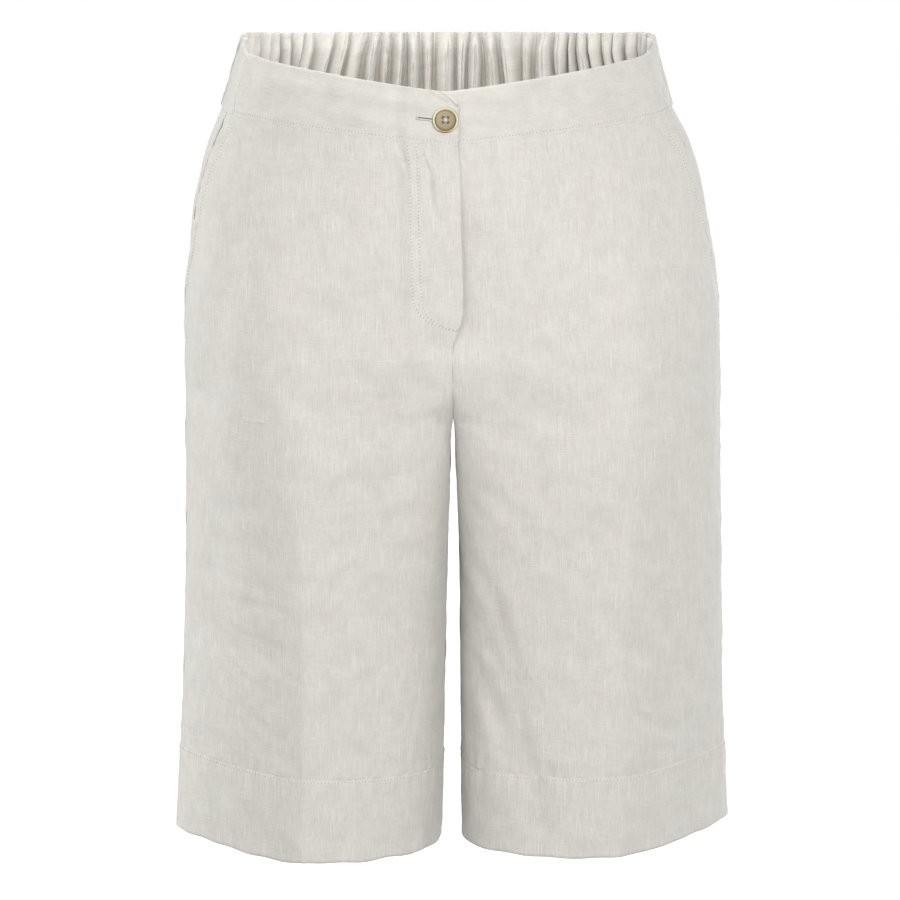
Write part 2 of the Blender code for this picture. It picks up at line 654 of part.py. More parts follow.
def main():
    """Empty the scene and model the shorts."""
    for leftover in list(bpy.data.objects):
        bpy.data.objects.remove(leftover)
    linen = new_material("linen", (0.70, 0.68, 0.62), 0.85)
    band_linen = new_material("band_linen", (0.69, 0.67, 0.61), 0.85)
    hem_linen = new_material("hem_linen", (0.66, 0.63, 0.57), 0.85)
    horn = new_material("horn", (0.50, 0.40, 0.24), 0.35)
    for side, word in ((RIGHT, "right"), (LEFT, "left")):
        make_front(side, "front_" + word, linen)
        make_back(side, "back_" + word, linen)
        make_front_band(side, "waistband_front_" + word, band_linen)
        make_bearer(side, "pocket_bearer_" + word, linen)
        make_hem(side, "hem_" + word, hem_linen)
    make_back_band("waistband_back", band_linen)
    make_button("button", horn)


main()
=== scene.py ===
"""Bermuda shorts in oatmeal linen, worn shape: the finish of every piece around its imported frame.

Metres, +Z up, the front faces -Y and +X is the wearer's left. Right and left are the wearer's.
The sections follow the shorts as they are put together.
"""
import math

import bpy
import numpy as np
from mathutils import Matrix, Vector


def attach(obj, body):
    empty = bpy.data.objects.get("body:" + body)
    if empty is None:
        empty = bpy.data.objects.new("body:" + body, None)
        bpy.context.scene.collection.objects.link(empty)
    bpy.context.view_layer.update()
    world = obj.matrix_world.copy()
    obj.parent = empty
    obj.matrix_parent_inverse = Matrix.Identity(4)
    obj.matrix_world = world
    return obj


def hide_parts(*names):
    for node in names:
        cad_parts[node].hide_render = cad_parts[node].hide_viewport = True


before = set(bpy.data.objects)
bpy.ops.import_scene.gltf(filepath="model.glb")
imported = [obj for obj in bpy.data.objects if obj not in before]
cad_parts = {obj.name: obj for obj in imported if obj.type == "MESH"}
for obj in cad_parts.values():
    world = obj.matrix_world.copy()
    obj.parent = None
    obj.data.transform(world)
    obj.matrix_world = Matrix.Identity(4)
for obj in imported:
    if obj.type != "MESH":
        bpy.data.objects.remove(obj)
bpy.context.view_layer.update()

# ---- front panels ----------------------------------------------------------------------------
# Two panels of plain-woven linen, cut on the straight grain, pressed to a crease down each leg.
# The right one laps over the left one at the fly, and each stands open at the side pocket.
RIGHT, LEFT = -1, 1
FRONT, BACK = -1, 1
SIDES = ((RIGHT, "right"), (LEFT, "left"))
PANEL_WALL, BAND_WALL = 0.0014, 0.0022
BAND_SEAM = -0.0285
FLY_END, FLY_TAPER = -0.172, 0.024
FORK_TOP, CROTCH = -0.160, -0.250
HEM_SEAM = -0.4995
LAP, UNDERLAP = 0.0075, 0.022
LAP_RISE_START, LAP_RISE_END, LAP_CLEARANCE = 0.037, 0.025, 0.0005
FORK_POWER = {FRONT: 5.3, BACK: 2.7}
NOTCH_START = 0.3
OUTER_FOLD = 0.75
CORNER = 0.014
POCKET_TOP, POCKET_END = -0.0285, -0.158
POCKET_GAPE, POCKET_LIFT = 0.0080, 0.0014
MOUTH_STITCH, MOUTH_HEM = 0.0110, 0.0140
FLY_DIP, FLY_DIP_WIDTH, FLY_DIP_END = 0.0062, 0.016, -0.208
OVERRUN = 60  # points by which a loop runs on past each inner edge
PAST_LAPS = 0.031  # a place further past an inner edge than this lies on the other face
INNER_EVEN, INNER_COLUMNS = 66, 20  # columns from a crease to its corner, and on to the inner edge
SEAM_SINK, EDGE_SINK = 0.00035, 0.00012  # how far long seams, and band and hem seams, pull in
SETTLE_FROM, SETTLE_TO, SETTLE_WIDTH = -0.330, -0.130, 0.012  # rows evened out round the fork
SETTLE_ROWS = 60  # only a grid with more rows than this is evened out
ARC_POINTS, DROP_POINTS = 161, 80
CENTRE_SLOPE = 1.9  # slope at the crease, as a multiple of the chord's from crease to centre
# Height and half width at the side, sway towards +X, level of the same row at the centre front
# and back, its slope at the side and at the front, and how far it sags between them.
OUTLINE = (
    "height half_width sway front_z back_z side_rise front_rise sag",
    (0.0145, 0.1490, -0.0015, -0.0185, 0.0250, 0.16, 0.12, 0.0000),
    (-0.0070, 0.1560, -0.0020, -0.0370, 0.0050, 0.15, 0.11, 0.0000),
    (-0.0285, 0.1636, -0.0022, -0.0555, -0.0195, 0.13, 0.09, 0.0000),
    (-0.0535, 0.1752, -0.0006, -0.0790, -0.0460, 0.10, 0.06, 0.0000),
    (-0.0900, 0.1852, -0.0003, -0.1090, -0.0850, 0.06, 0.03, 0.0000),
    (-0.1300, 0.1912, 0.0008, -0.1430, -0.1280, 0.03, 0.01, 0.0000),
    (-0.1650, 0.1958, 0.0014, -0.1730, -0.1650, 0.01, 0.00, 0.0000),
    (-0.2670, 0.1972, 0.0022, -0.2670, -0.2670, 0.00, 0.00, 0.0000),
    (-0.3400, 0.1982, 0.0026, -0.3420, -0.3420, 0.00, 0.00, 0.0010),
    (-0.4300, 0.2002, 0.0022, -0.4345, -0.4345, 0.00, 0.00, 0.0030),
    (-0.4995, 0.2030, 0.0018, -0.5070, -0.5070, 0.00, 0.00, 0.0047),
    (-0.5590, 0.2063, 0.0014, -0.5650, -0.5650, 0.00, 0.00, 0.0065),
)
# How far the cloth stands out from the side line, at each centre and on each crease.
DEPTH = (
    "height front_centre front_crease back_centre back_crease",
    (0.0145, 0.1080, 0.0815, 0.1150, 0.0865),
    (-0.0285, 0.1145, 0.0905, 0.1200, 0.0940),
    (-0.0750, 0.1190, 0.1000, 0.1310, 0.1080),
    (-0.1200, 0.1215, 0.1080, 0.1375, 0.1180),
    (-0.1650, 0.1210, 0.1130, 0.1395, 0.1250),
    (-0.2100, 0.1185, 0.1150, 0.1355, 0.1285),
    (-0.2670, 0.1155, 0.1145, 0.1290, 0.1280),
    (-0.3400, 0.1090, 0.1090, 0.1190, 0.1190),
    (-0.4300, 0.1030, 0.1030, 0.1080, 0.1080),
    (-0.5590, 0.0970, 0.0970, 0.0990, 0.0990),
)
# Turn of the creases in degrees, half the gap between the legs, where the creases lie, how far
# forwards each inside seam lies along the cloth, its depth, and how far the row tilts to a side.
LEG = (
    "height fold half_gap right_crease left_crease right_inseam left_inseam inseam_y tilt",
    (0.0145, 0, 0.00015, 0.102, 0.102, 0.000, 0.000, 0.005, 0.0000),
    (-0.1300, 0, 0.00015, 0.106, 0.110, 0.000, 0.000, 0.005, 0.0000),
    (-0.1750, 1, -0.00020, 0.107, 0.112, 0.000, 0.000, 0.005, 0.0000),
    (-0.2420, 6, -0.00020, 0.107, 0.115, 0.000, 0.000, 0.005, 0.0000),
    (-0.2600, 7, 0.00140, 0.107, 0.116, 0.000, 0.000, 0.005, 0.0000),
    (-0.2850, 11, 0.00210, 0.107, 0.117, 0.001, 0.003, 0.004, 0.0000),
    (-0.3500, 16, 0.00440, 0.107, 0.119, 0.003, 0.010, 0.003, 0.0005),
    (-0.4300, 22, 0.00570, 0.107, 0.120, 0.004, 0.016, 0.002, 0.0010),
    (-0.4995, 25, 0.00670, 0.107, 0.121, 0.004, 0.020, 0.001, 0.0015),
    (-0.5590, 27, 0.00770, 0.107, 0.121, 0.005, 0.024, 0.000, 0.0040),
)
# Fullness of the curves from side to crease and from there inwards, and the inner corner's size.
ROUNDNESS = (
    "height side inner corner",
    (0.0145, 0.22, 0.22, 0.000),
    (-0.1300, 0.22, 0.22, 0.000),
    (-0.2000, 0.20, 0.30, 0.003),
    (-0.2670, 0.14, 0.52, 0.030),
    (-0.3000, 0.09, 0.50, 0.046),
    (-0.3500, 0.04, 0.46, 0.070),
    (-0.4300, 0.00, 0.42, 0.095),
    (-0.5590, -0.05, 0.36, 0.100),
)
# How far in front of the widest point the side seam lies, on the panels and on each band.
SIDE_SEAM = (
    "height panels right_band left_band",
    (0.0145, 0.036, 0.036, 0.024),
    (-0.0285, 0.034, 0.046, 0.028),
    (-0.0900, 0.028, 0.046, 0.028),
    (-0.1650, 0.018, 0.046, 0.028),
    (-0.2670, 0.008, 0.046, 0.028),
    (-0.5590, 0.005, 0.046, 0.028),
)
# Broad folds, each along a line seen from the front or the back.
FOLDS = (
    "face x_from z_from x_to z_to width depth",
    (FRONT, -0.152, -0.110, -0.176, -0.235, 0.013, 0.0024),
    (FRONT, -0.176, -0.235, -0.172, -0.420, 0.014, 0.0020),
    (FRONT, -0.030, -0.225, -0.080, -0.250, 0.013, 0.0016),
    (FRONT, -0.185, -0.405, -0.120, -0.425, 0.012, 0.0015),
    (FRONT, 0.032, -0.228, 0.082, -0.252, 0.013, 0.0014),
    (FRONT, 0.026, -0.400, 0.064, -0.545, 0.013, 0.0028),
    (FRONT, 0.160, -0.150, 0.176, -0.300, 0.014, 0.0018),
    (BACK, -0.128, -0.130, -0.140, -0.330, 0.016, 0.0020),
    (BACK, 0.136, -0.120, 0.146, -0.290, 0.016, 0.0018),
    (BACK, -0.058, -0.300, -0.072, -0.470, 0.015, 0.0022),
    (BACK, 0.150, -0.350, 0.070, -0.450, 0.015, 0.0018),
    (BACK, 0.046, -0.290, 0.060, -0.420, 0.015, 0.0020),
)
# Creases of the worn linen: narrower, bowed, with the cloth swelling on both sides of each.
CREASES = (
    "face x_from z_from x_to z_to bow width depth",
    (FRONT, -0.0201, -0.0575, -0.0146, -0.0730, 0.0000, 0.0011, 0.0015),
    (FRONT, -0.0149, -0.0680, -0.0122, -0.0990, 0.0008, 0.0028, 0.0015),
    (FRONT, -0.0130, -0.0900, -0.0040, -0.1080, 0.0030, 0.0030, 0.0004),
    (FRONT, -0.0340, -0.0560, -0.0300, -0.0740, 0.0000, 0.0022, 0.0008),
    (FRONT, 0.0280, -0.1150, 0.0240, -0.2300, -0.0030, 0.0100, 0.0012),
    (FRONT, -0.0120, -0.1000, -0.0190, -0.1850, 0.0020, 0.0060, 0.0008),
    (FRONT, -0.1760, -0.3600, -0.1140, -0.3740, 0.0030, 0.0026, 0.00040),
    (FRONT, -0.1700, -0.3820, -0.1100, -0.3900, -0.0020, 0.0030, 0.00050),
    (FRONT, -0.1720, -0.3960, -0.1080, -0.4150, 0.0030, 0.0028, 0.00045),
    (FRONT, -0.1500, -0.4050, -0.1040, -0.4400, 0.0040, 0.0034, 0.00060),
    (FRONT, -0.1700, -0.4230, -0.1220, -0.4500, 0.0030, 0.0030, 0.00050),
    (FRONT, -0.1620, -0.4480, -0.1120, -0.4870, 0.0030, 0.0034, 0.00060),
    (FRONT, -0.1760, -0.4420, -0.1400, -0.4840, 0.0030, 0.0030, 0.00050),
    (FRONT, -0.1820, -0.4050, -0.1500, -0.4350, 0.0020, 0.0026, 0.00040),
    (FRONT, -0.1660, -0.3400, -0.1200, -0.3480, -0.0020, 0.0030, 0.00035),
    (FRONT, -0.0200, -0.2500, -0.0900, -0.2780, 0.0040, 0.0080, 0.0006),
    (FRONT, -0.0120, -0.2750, -0.0600, -0.3150, 0.0050, 0.0070, 0.0006),
    (FRONT, 0.0180, -0.2560, 0.0980, -0.2850, -0.0050, 0.0080, 0.0006),
    (FRONT, 0.0140, -0.2900, 0.0600, -0.3400, -0.0040, 0.0070, 0.0008),
    (FRONT, 0.0160, -0.3500, 0.0470, -0.4300, -0.0030, 0.0060, 0.0012),
    (FRONT, 0.0150, -0.4200, 0.0400, -0.5000, -0.0030, 0.0060, 0.0012),
    (FRONT, 0.1150, -0.4000, 0.1650, -0.4300, 0.0040, 0.0060, 0.0008),
    (FRONT, 0.1300, -0.4600, 0.1700, -0.4800, 0.0030, 0.0050, 0.0007),
    (FRONT, -0.0500, -0.4300, -0.0900, -0.4650, 0.0030, 0.0060, 0.0007),
    (FRONT, -0.0600, -0.3500, -0.0900, -0.3800, 0.0030, 0.0060, 0.0006),
    (FRONT, -0.1500, -0.0700, -0.1300, -0.1300, 0.0030, 0.0050, 0.0009),
    (FRONT, 0.1450, -0.0700, 0.1600, -0.1250, -0.0030, 0.0050, 0.0009),
    (BACK, -0.0200, -0.2560, -0.0880, -0.2840, 0.0040, 0.0080, 0.0011),
    (BACK, 0.0200, -0.2500, 0.0900, -0.2760, -0.0040, 0.0080, 0.0010),
    (BACK, -0.0140, -0.2900, -0.0560, -0.3300, 0.0040, 0.0070, 0.0010),
    (BACK, 0.0150, -0.3000, 0.0620, -0.3500, -0.0040, 0.0070, 0.0010),
    (BACK, -0.1650, -0.3700, -0.1150, -0.3850, 0.0030, 0.0045, 0.0009),
    (BACK, -0.1550, -0.4000, -0.1100, -0.4250, 0.0030, 0.0045, 0.0009),
    (BACK, -0.1600, -0.4400, -0.1200, -0.4700, 0.0020, 0.0045, 0.0009),
    (BACK, 0.1640, -0.3600, 0.1200, -0.3800, -0.0030, 0.0045, 0.0008),
    (BACK, 0.1500, -0.3950, 0.1060, -0.4200, -0.0020, 0.0050, 0.0009),
    (BACK, 0.1620, -0.4500, 0.1250, -0.4750, -0.0030, 0.0045, 0.0008),
    (BACK, -0.0160, -0.3900, -0.0440, -0.4700, 0.0030, 0.0060, 0.0011),
    (BACK, 0.0500, -0.2000, 0.1000, -0.1700, 0.0040, 0.0080, 0.0007),
    (BACK, -0.0450, -0.1950, -0.0950, -0.1720, -0.0040, 0.0080, 0.0007),
)


def smooth_curve(x, knots, values):
    """Cubic through (knots, values) whose slopes are harmonic means, so it never overshoots."""
    step = np.diff(knots)
    rise = np.diff(values) / step
    turning = rise[:-1] * rise[1:] <= 0
    pairs = np.where(turning, 1, rise[:-1] + rise[1:])
    inner = np.where(turning, 0, 2 * rise[:-1] * rise[1:] / pairs)
    slope = np.concatenate([rise[:1], inner, rise[-1:]])
    i = np.clip(np.searchsorted(knots, x) - 1, 0, len(step) - 1)
    t = np.clip((x - knots[i]) / step[i], 0, 1)
    start = values[i] * (1 + 2 * t) * (1 - t) ** 2 + slope[i] * step[i] * t * (1 - t) ** 2
    end = values[i + 1] * t * t * (3 - 2 * t) - slope[i + 1] * step[i] * t * t * (1 - t)
    return start + end


def read(table, height):
    """The columns of a table at a height, by name."""
    names = table[0].split()
    rows = np.array(table[:0:-1])
    return {name: smooth_curve(height, rows[:, 0], rows[:, k]) for k, name in enumerate(names)}


def ease(t):
    """Smooth step from 0 to 1."""
    t = np.clip(t, 0, 1)
    return t * t * (3 - 2 * t)


def bell(distance, width):
    """Gaussian bell: 1 on a line, 0.37 one width away from it."""
    return np.exp(-(distance / width) ** 2)


def decay(distance, reach):
    """Exponential fall on both sides of a line: 1 on it, 0.37 at its reach."""
    return np.exp(-np.abs(distance) / reach)


def direction(degrees):
    """Unit vector in plan that heads inwards, climbing outwards by an angle."""
    return np.array([-math.cos(math.radians(degrees)), math.sin(math.radians(degrees))])


def arc(start, start_angle, end, end_angle, fullness):
    """Cubic Bezier stretch of a loop between two points with given headings: points, normals.

    Where it turns down into the fork, the last handle stays about as long as the drop.
    """
    heading, arrival = direction(start_angle), direction(end_angle)
    reach = 1 / 3 + fullness * abs(start_angle - end_angle) / 90
    first = start + heading * reach * np.dot(end - start, heading)
    last_length = reach * np.dot(end - start, arrival)
    drop = (start[1] - end[1] + math.hypot(start[1] - end[1], 0.008)) / 2
    limit = (0.9 * drop + 0.003) / max(-arrival[1], 1e-3)
    last_length = (max(last_length, 1e-6) ** -3 + limit ** -3) ** (-1 / 3)
    last = end - arrival * last_length
    t = np.linspace(0, 1, ARC_POINTS)[:, None]
    s = 1 - t
    path = s ** 3 * start + 3 * s * s * t * first + 3 * s * t * t * last + t ** 3 * end
    along = s * s * (first - start) + 2 * s * t * (last - first) + t * t * (end - last)
    along[0] = heading
    along[-1] = arrival if last_length > 1e-6 else along[-2]
    along /= np.linalg.norm(along, axis=1)[:, None]
    return path, np.stack([along[:, 1], -along[:, 0]], axis=1)


class Loop:
    """The cloth round one half of the shorts at one height, seen from above.

    It starts at the front's inner edge, runs over the front crease to the widest point and over
    the back crease to the back's inner edge. A place is the distance from the widest point,
    negative towards the front.
    """

    def __init__(self, side, height):
        self.side = side
        self.height = height
        self.outline, self.leg = read(OUTLINE, height), read(LEG, height)
        self.outline["height"] += side * self.leg["tilt"]
        seam = read(SIDE_SEAM, height)
        self.panel_seam = seam["panels"]
        self.band_seam = seam["right_band" if side == RIGHT else "left_band"]
        self.inseam = self.leg["right_inseam" if side == RIGHT else "left_inseam"]
        front, front_normals, front_place, self.front_crease = self.face_arc(FRONT)
        back, back_normals, back_place, self.back_crease = self.face_arc(BACK)
        self.front_end, self.back_end = front_place[-1], back_place[-1]
        flip = np.array([1, -1])
        place = np.concatenate([-front_place[:0:-1], back_place])
        path = np.concatenate([front[:0:-1] * flip, back])
        normals = np.concatenate([front_normals[:0:-1] * flip, back_normals])
        if height < CROTCH:
            girth = self.front_end + self.back_end
            ahead, behind = slice(-OVERRUN, -1), slice(1, OVERRUN)
            place = np.concatenate([place[ahead] - girth, place, place[behind] + girth])
            path = np.concatenate([path[ahead], path, path[behind]])
            normals = np.concatenate([normals[ahead], normals, normals[behind]])
        else:
            mirror = np.array([-1, 1])
            across = slice(OVERRUN, 0, -1)
            place = np.concatenate([2 * place[0] - place[across], place])
            path = np.concatenate([path[across] * mirror, path])
            normals = np.concatenate([normals[across] * mirror, normals])
        self.place, self.path, self.normals = place, path, normals

    def face_arc(self, face):
        """Side to crease, crease to the corner between the legs, then straight to the seam."""
        height, leg = self.height, self.leg
        depth, roundness = read(DEPTH, height), read(ROUNDNESS, height)
        name = "front" if face == FRONT else "back"
        centre, crease_depth = depth[name + "_centre"], depth[name + "_crease"]
        left_front = face == FRONT and self.side == LEFT
        crease_x = leg["left_crease" if left_front else "right_crease"]
        fork = min(max((FORK_TOP - height) / (FORK_TOP - CROTCH), 0), 1)
        seam_depth = face * leg["inseam_y"]
        power = FORK_POWER[face]
        inner_depth = seam_depth + (centre - seam_depth) * (1 - fork ** power) ** (1 / power)
        notch = ease((fork - NOTCH_START) / (1 - NOTCH_START))
        slope = CENTRE_SLOPE * math.degrees(math.atan2(centre - crease_depth, crease_x))
        widest = np.array([self.outline["half_width"], 0.0])
        crease = np.array([crease_x, crease_depth])
        inner = np.array([leg["half_gap"], inner_depth])
        corner = inner.copy()
        drop = crease_depth - inner_depth
        if drop > 0 and roundness["corner"] > 0:
            corner[1] = crease_depth - drop / (1 + (drop / roundness["corner"]) ** 3) ** (1 / 3)
        outer_end = slope + OUTER_FOLD * leg["fold"]
        inner_start = slope - (1 - OUTER_FOLD) * leg["fold"]
        outer_path, outer_normals = arc(widest, 90, crease, outer_end, roundness["side"])
        inner_path, inner_normals = arc(crease, inner_start, corner, -90 * notch, roundness["inner"])
        at_crease = outer_normals[-1] + inner_normals[0]
        outer_normals[-1] = at_crease / np.linalg.norm(at_crease)
        path = np.concatenate([outer_path, inner_path[1:]])
        normals = np.concatenate([outer_normals, inner_normals[1:]])
        if corner[1] - inner[1] > 1e-4:
            path = np.concatenate([path, np.linspace(corner, inner, DROP_POINTS + 1)[1:]])
            normals = np.concatenate([normals, np.tile([-1.0, 0.0], (DROP_POINTS, 1))])
        steps = np.linalg.norm(np.diff(path, axis=0), axis=1)
        distance = np.concatenate([[0], np.cumsum(steps)])
        return path, normals, distance, distance[len(outer_path) - 1]

    def height_at(self, place):
        """Cubic from the side to each inner edge, sagging between them as the hem does."""
        outline = self.outline
        girth = self.front_end + self.back_end
        place = np.where(place < -self.front_end - PAST_LAPS, place + girth, place)
        place = np.where(place > self.back_end + PAST_LAPS, place - girth, place)
        front = place < 0
        length = np.where(front, self.front_end, self.back_end)
        end = np.where(front, outline["front_z"], outline["back_z"])
        start_slope = np.where(front, -1, 1) * outline["side_rise"] * length
        end_slope = np.where(front, -outline["front_rise"], 0) * length
        t = np.clip(np.abs(place) / length, 0, 1)
        first = outline["height"] * (1 + 2 * t) * (1 - t) ** 2 + start_slope * t * (1 - t) ** 2
        level = first + end * t * t * (3 - 2 * t) - end_slope * t * t * (1 - t)
        return level - outline["sag"] * np.sin(math.pi * t) ** 2


class Grid:
    """Cloth sampled on rows of heights by columns of places: positions and outward normals."""

    def __init__(self, side, heights, places_of):
        self.side, self.heights = side, np.asarray(heights, float)
        self.loops = [Loop(side, h) for h in self.heights]
        self.place = np.array([places_of(loop) for loop in self.loops])
        self.z = np.array([loop.height_at(p) for loop, p in zip(self.loops, self.place)])
        (x, self.y), (nx, ny) = (
            [np.array([np.interp(p, loop.place, getattr(loop, name)[:, axis])
                       for loop, p in zip(self.loops, self.place)]) for axis in (0, 1)]
            for name in ("path", "normals"))
        unit = np.hypot(nx, ny)
        sway = np.array([loop.outline["sway"] for loop in self.loops])[:, None]
        self.x = side * x + sway
        self.nx, self.ny = side * nx / unit, ny / unit
        self.row = self.heights[:, None] + 0 * self.place
        if len(self.heights) > SETTLE_ROWS:
            self.settle(x)

    def settle(self, x):
        """Even out the rows round the fork by a weighted mean, but leave the inner edges."""
        apart = self.heights[:, None] - self.heights
        share = bell(apart, SETTLE_WIDTH) * np.abs(np.gradient(self.heights))
        share /= share.sum(axis=1)[:, None]
        near_fork = ease((self.row - SETTLE_FROM) / 0.040) * ease((SETTLE_TO - self.row) / 0.025)
        weight = near_fork * ease((x - 0.004) / 0.022)
        for name in ("x", "y", "nx", "ny"):
            values = getattr(self, name)
            setattr(self, name, values + weight * (share @ values - values))
        unit = np.hypot(self.nx, self.ny)
        self.nx, self.ny = self.nx / unit, self.ny / unit

    def column(self, name):
        """A value of each row's loop as a column that spreads over the grid."""
        return np.array([getattr(loop, name) for loop in self.loops])[:, None]

    def from_column(self, k):
        """Distance along the cloth from one of its columns."""
        return np.abs(self.place - self.place[:, [k]])

    def points(self, lift, rise=0.0):
        """Positions with the cloth moved outwards by lift and upwards by rise."""
        parts = [self.x + self.nx * lift, self.y + self.ny * lift, self.z + rise + 0 * lift]
        return np.stack(parts, axis=2)

    def normals(self):
        """Outward normals, level, as one array like the points."""
        return np.stack([self.nx, self.ny, 0 * self.nx], axis=2)


def creased(grid):
    """How far the folds and creases sink the cloth: a bell across each line, easing at its ends.

    A broad fold is a plain trough. A crease has swells beside it, a bowed line and tapered ends.
    """
    upright = ease(np.abs(grid.ny) / 0.5)
    depth = np.zeros_like(grid.x)
    for face, x_from, z_from, x_to, z_to, *shape in FOLDS[1:] + CREASES[1:]:
        length = math.hypot(x_to - x_from, z_to - z_from)
        run_x, run_z = (x_to - x_from) / length, (z_to - z_from) / length
        along = (grid.x - x_from) * run_x + (grid.z - z_from) * run_z
        across = (grid.x - x_from) * run_z - (grid.z - z_from) * run_x
        facing = np.clip(face * grid.y / 0.03, 0, 1) * upright
        if len(shape) == 2:
            width, deepest = shape
            outside = np.maximum(np.maximum(-along, along - length), 0)
            depth += deepest * facing * np.exp(-(across ** 2 + outside ** 2) / width ** 2)
        else:
            bow, width, deepest = shape
            arch = 4 * (along / length) * (1 - along / length)
            taper = np.sqrt(np.clip(arch, 0, 1))
            u = np.abs(across - bow * arch) / (width * (0.55 + 0.45 * taper))
            depth += deepest * facing * taper * (bell(u, 1) - 0.42 * bell(u - 1.75, 0.85))
    return depth


def crumple(u, v, wavelength, seed):
    """Uneven cloth, about -1 to 1: a sum of sine waves in seeded directions and lengths."""
    waves = 14
    draw = np.random.default_rng(seed)
    turn = draw.uniform(0, math.pi, waves)
    length = wavelength * draw.uniform(0.6, 1.7, waves)
    phase = draw.uniform(0, math.tau, waves)
    total = np.zeros_like(u)
    for k in range(waves):
        ahead = u * math.cos(turn[k]) + v * math.sin(turn[k])
        total += np.sin(math.tau * ahead / length[k] + phase[k])
    return total / math.sqrt(waves)


def pucker(distance, away, wavelength, reach, seed):
    """Little ripples across a sewn line: uneven waves along it that die away beside it."""
    draw = np.random.default_rng(seed)
    shift = draw.uniform(0, math.tau, 3)
    wave = (np.sin(math.tau * distance / wavelength + shift[0])
            + 0.8 * np.sin(math.tau * distance / (1.63 * wavelength) + shift[1])
            + 0.6 * np.sin(math.tau * distance / (0.61 * wavelength) + shift[2]))
    return 0.5 * wave * decay(away, reach)


def arc_length(points, axis):
    """Distance along the rows or columns of a grid of points, starting at 0."""
    steps = np.linalg.norm(np.diff(points, axis=axis), axis=2)
    start = np.zeros_like(np.take(steps, [0], axis=axis))
    return np.concatenate([start, np.cumsum(steps, axis=axis)], axis=axis)


def new_object(name, data):
    """Put a mesh, light or camera into the scene as an object at the origin."""
    thing = bpy.data.objects.new(name, data)
    bpy.context.scene.collection.objects.link(thing)
    return thing


def cloth_mesh(name, outer, inner, cut, ring=False, round_edges=(0, 0, 0, 0)):
    """Closed cloth wall from an outer and an inner grid, with the rims rounded outwards.

    cut holds the flat cloth's own coordinates in metres, one pair a grid point, and becomes the
    UV map of that name. round_edges says how far the top, right, bottom and left rims stand out.
    """
    rows, columns = outer.shape[:2]
    count = rows * columns
    index = plain = np.arange(count).reshape(rows, columns)
    edge_cut = cut.reshape(-1, 2)
    if ring:
        index = np.concatenate([index, index[:, :1]], axis=1)
        beyond = cut[:, -1:].copy()
        beyond[:, :, 0] += cut[:, 1:2, 0] - cut[:, :1, 0]
        cut = np.concatenate([cut, beyond], axis=1)
    quads, cut_corners = (
        np.stack([grid[:-1, :-1], grid[1:, :-1], grid[1:, 1:], grid[:-1, 1:]], axis=2)
        for grid in (index, cut))
    quads, cut_corners = quads.reshape(-1, 4), cut_corners.reshape(-1, 4, 2)
    vertices = [outer.reshape(-1, 3), inner.reshape(-1, 3)]
    faces = [quads, quads[:, ::-1] + count]
    face_cut = [cut_corners, cut_corners[:, ::-1]]
    middle = ((outer + inner) / 2).reshape(-1, 3)
    used = 2 * count

    def rim(line, inward, amount):
        """Strip round one rim: outer edge, a middle line pushed out, inner edge."""
        nonlocal used
        away = middle[line] - middle[inward]
        away /= np.linalg.norm(away, axis=1)[:, None] + 1e-12
        vertices.append(middle[line] + away * amount)
        here = used + np.arange(len(line))
        after, line_after = np.roll(here, -1), np.roll(line, -1)
        faces.append(np.stack([line_after, line, here, after], axis=1))
        faces.append(np.stack([after, here, line + count, line_after + count], axis=1))
        pair = edge_cut[np.stack([line_after, line, line, line_after], axis=1)]
        face_cut.extend([pair, pair])
        used += len(line)

    top, right, bottom, left = round_edges
    if ring:
        rim(plain[0, ::-1], plain[1, ::-1], top)
        rim(plain[-1], plain[-2], bottom)
    else:
        edge = np.concatenate([plain[0, ::-1], plain[1:, 0], plain[-1, 1:], plain[-2:0:-1, -1]])
        inward = np.concatenate([plain[1, ::-1], plain[1:, 1], plain[-2, 1:], plain[-2:0:-1, -2]])
        amount = np.repeat([top, left, bottom, right], [columns, rows - 1, columns - 1, rows - 2])
        rim(edge, inward, amount[:, None])
    vertices, faces, face_cut = (np.concatenate(parts) for parts in (vertices, faces, face_cut))
    a, b, c, d = (vertices[faces[:, k]] for k in range(4))
    volume = (a * np.cross(b, c)).sum() + (a * np.cross(c, d)).sum()
    if volume < 0:
        faces, face_cut = faces[:, ::-1], face_cut[:, ::-1]
    mesh = bpy.data.meshes.new(name)
    mesh.vertices.add(len(vertices))
    mesh.vertices.foreach_set("co", vertices.astype(np.float32).ravel())
    mesh.loops.add(faces.size)
    mesh.loops.foreach_set("vertex_index", faces.astype(np.int32).ravel())
    mesh.polygons.add(len(faces))
    mesh.polygons.foreach_set("loop_start", np.arange(0, faces.size, 4, dtype=np.int32))
    mesh.update(calc_edges=True)
    mesh.uv_layers.new(name="cut").data.foreach_set("uv", face_cut.astype(np.float32).ravel())
    mesh.shade_smooth()
    mesh.set_sharp_from_angle(angle=math.radians(48))
    return new_object(name, mesh)


def from_faces(name, points, faces):
    """New object from an array of points and a list of faces."""
    mesh = bpy.data.meshes.new(name)
    mesh.from_pydata(points.reshape(-1, 3).tolist(), [], faces)
    return new_object(name, mesh)


def tube_faces(rings, sides):
    """Four-sided faces between rings of points that follow each other, as one array."""
    first = sides * np.arange(rings - 1)[:, None] + np.arange(sides)
    after = sides * np.arange(rings - 1)[:, None] + (np.arange(sides) + 1) % sides
    return np.stack([first, after, after + sides, first + sides], axis=2).reshape(-1, 4)


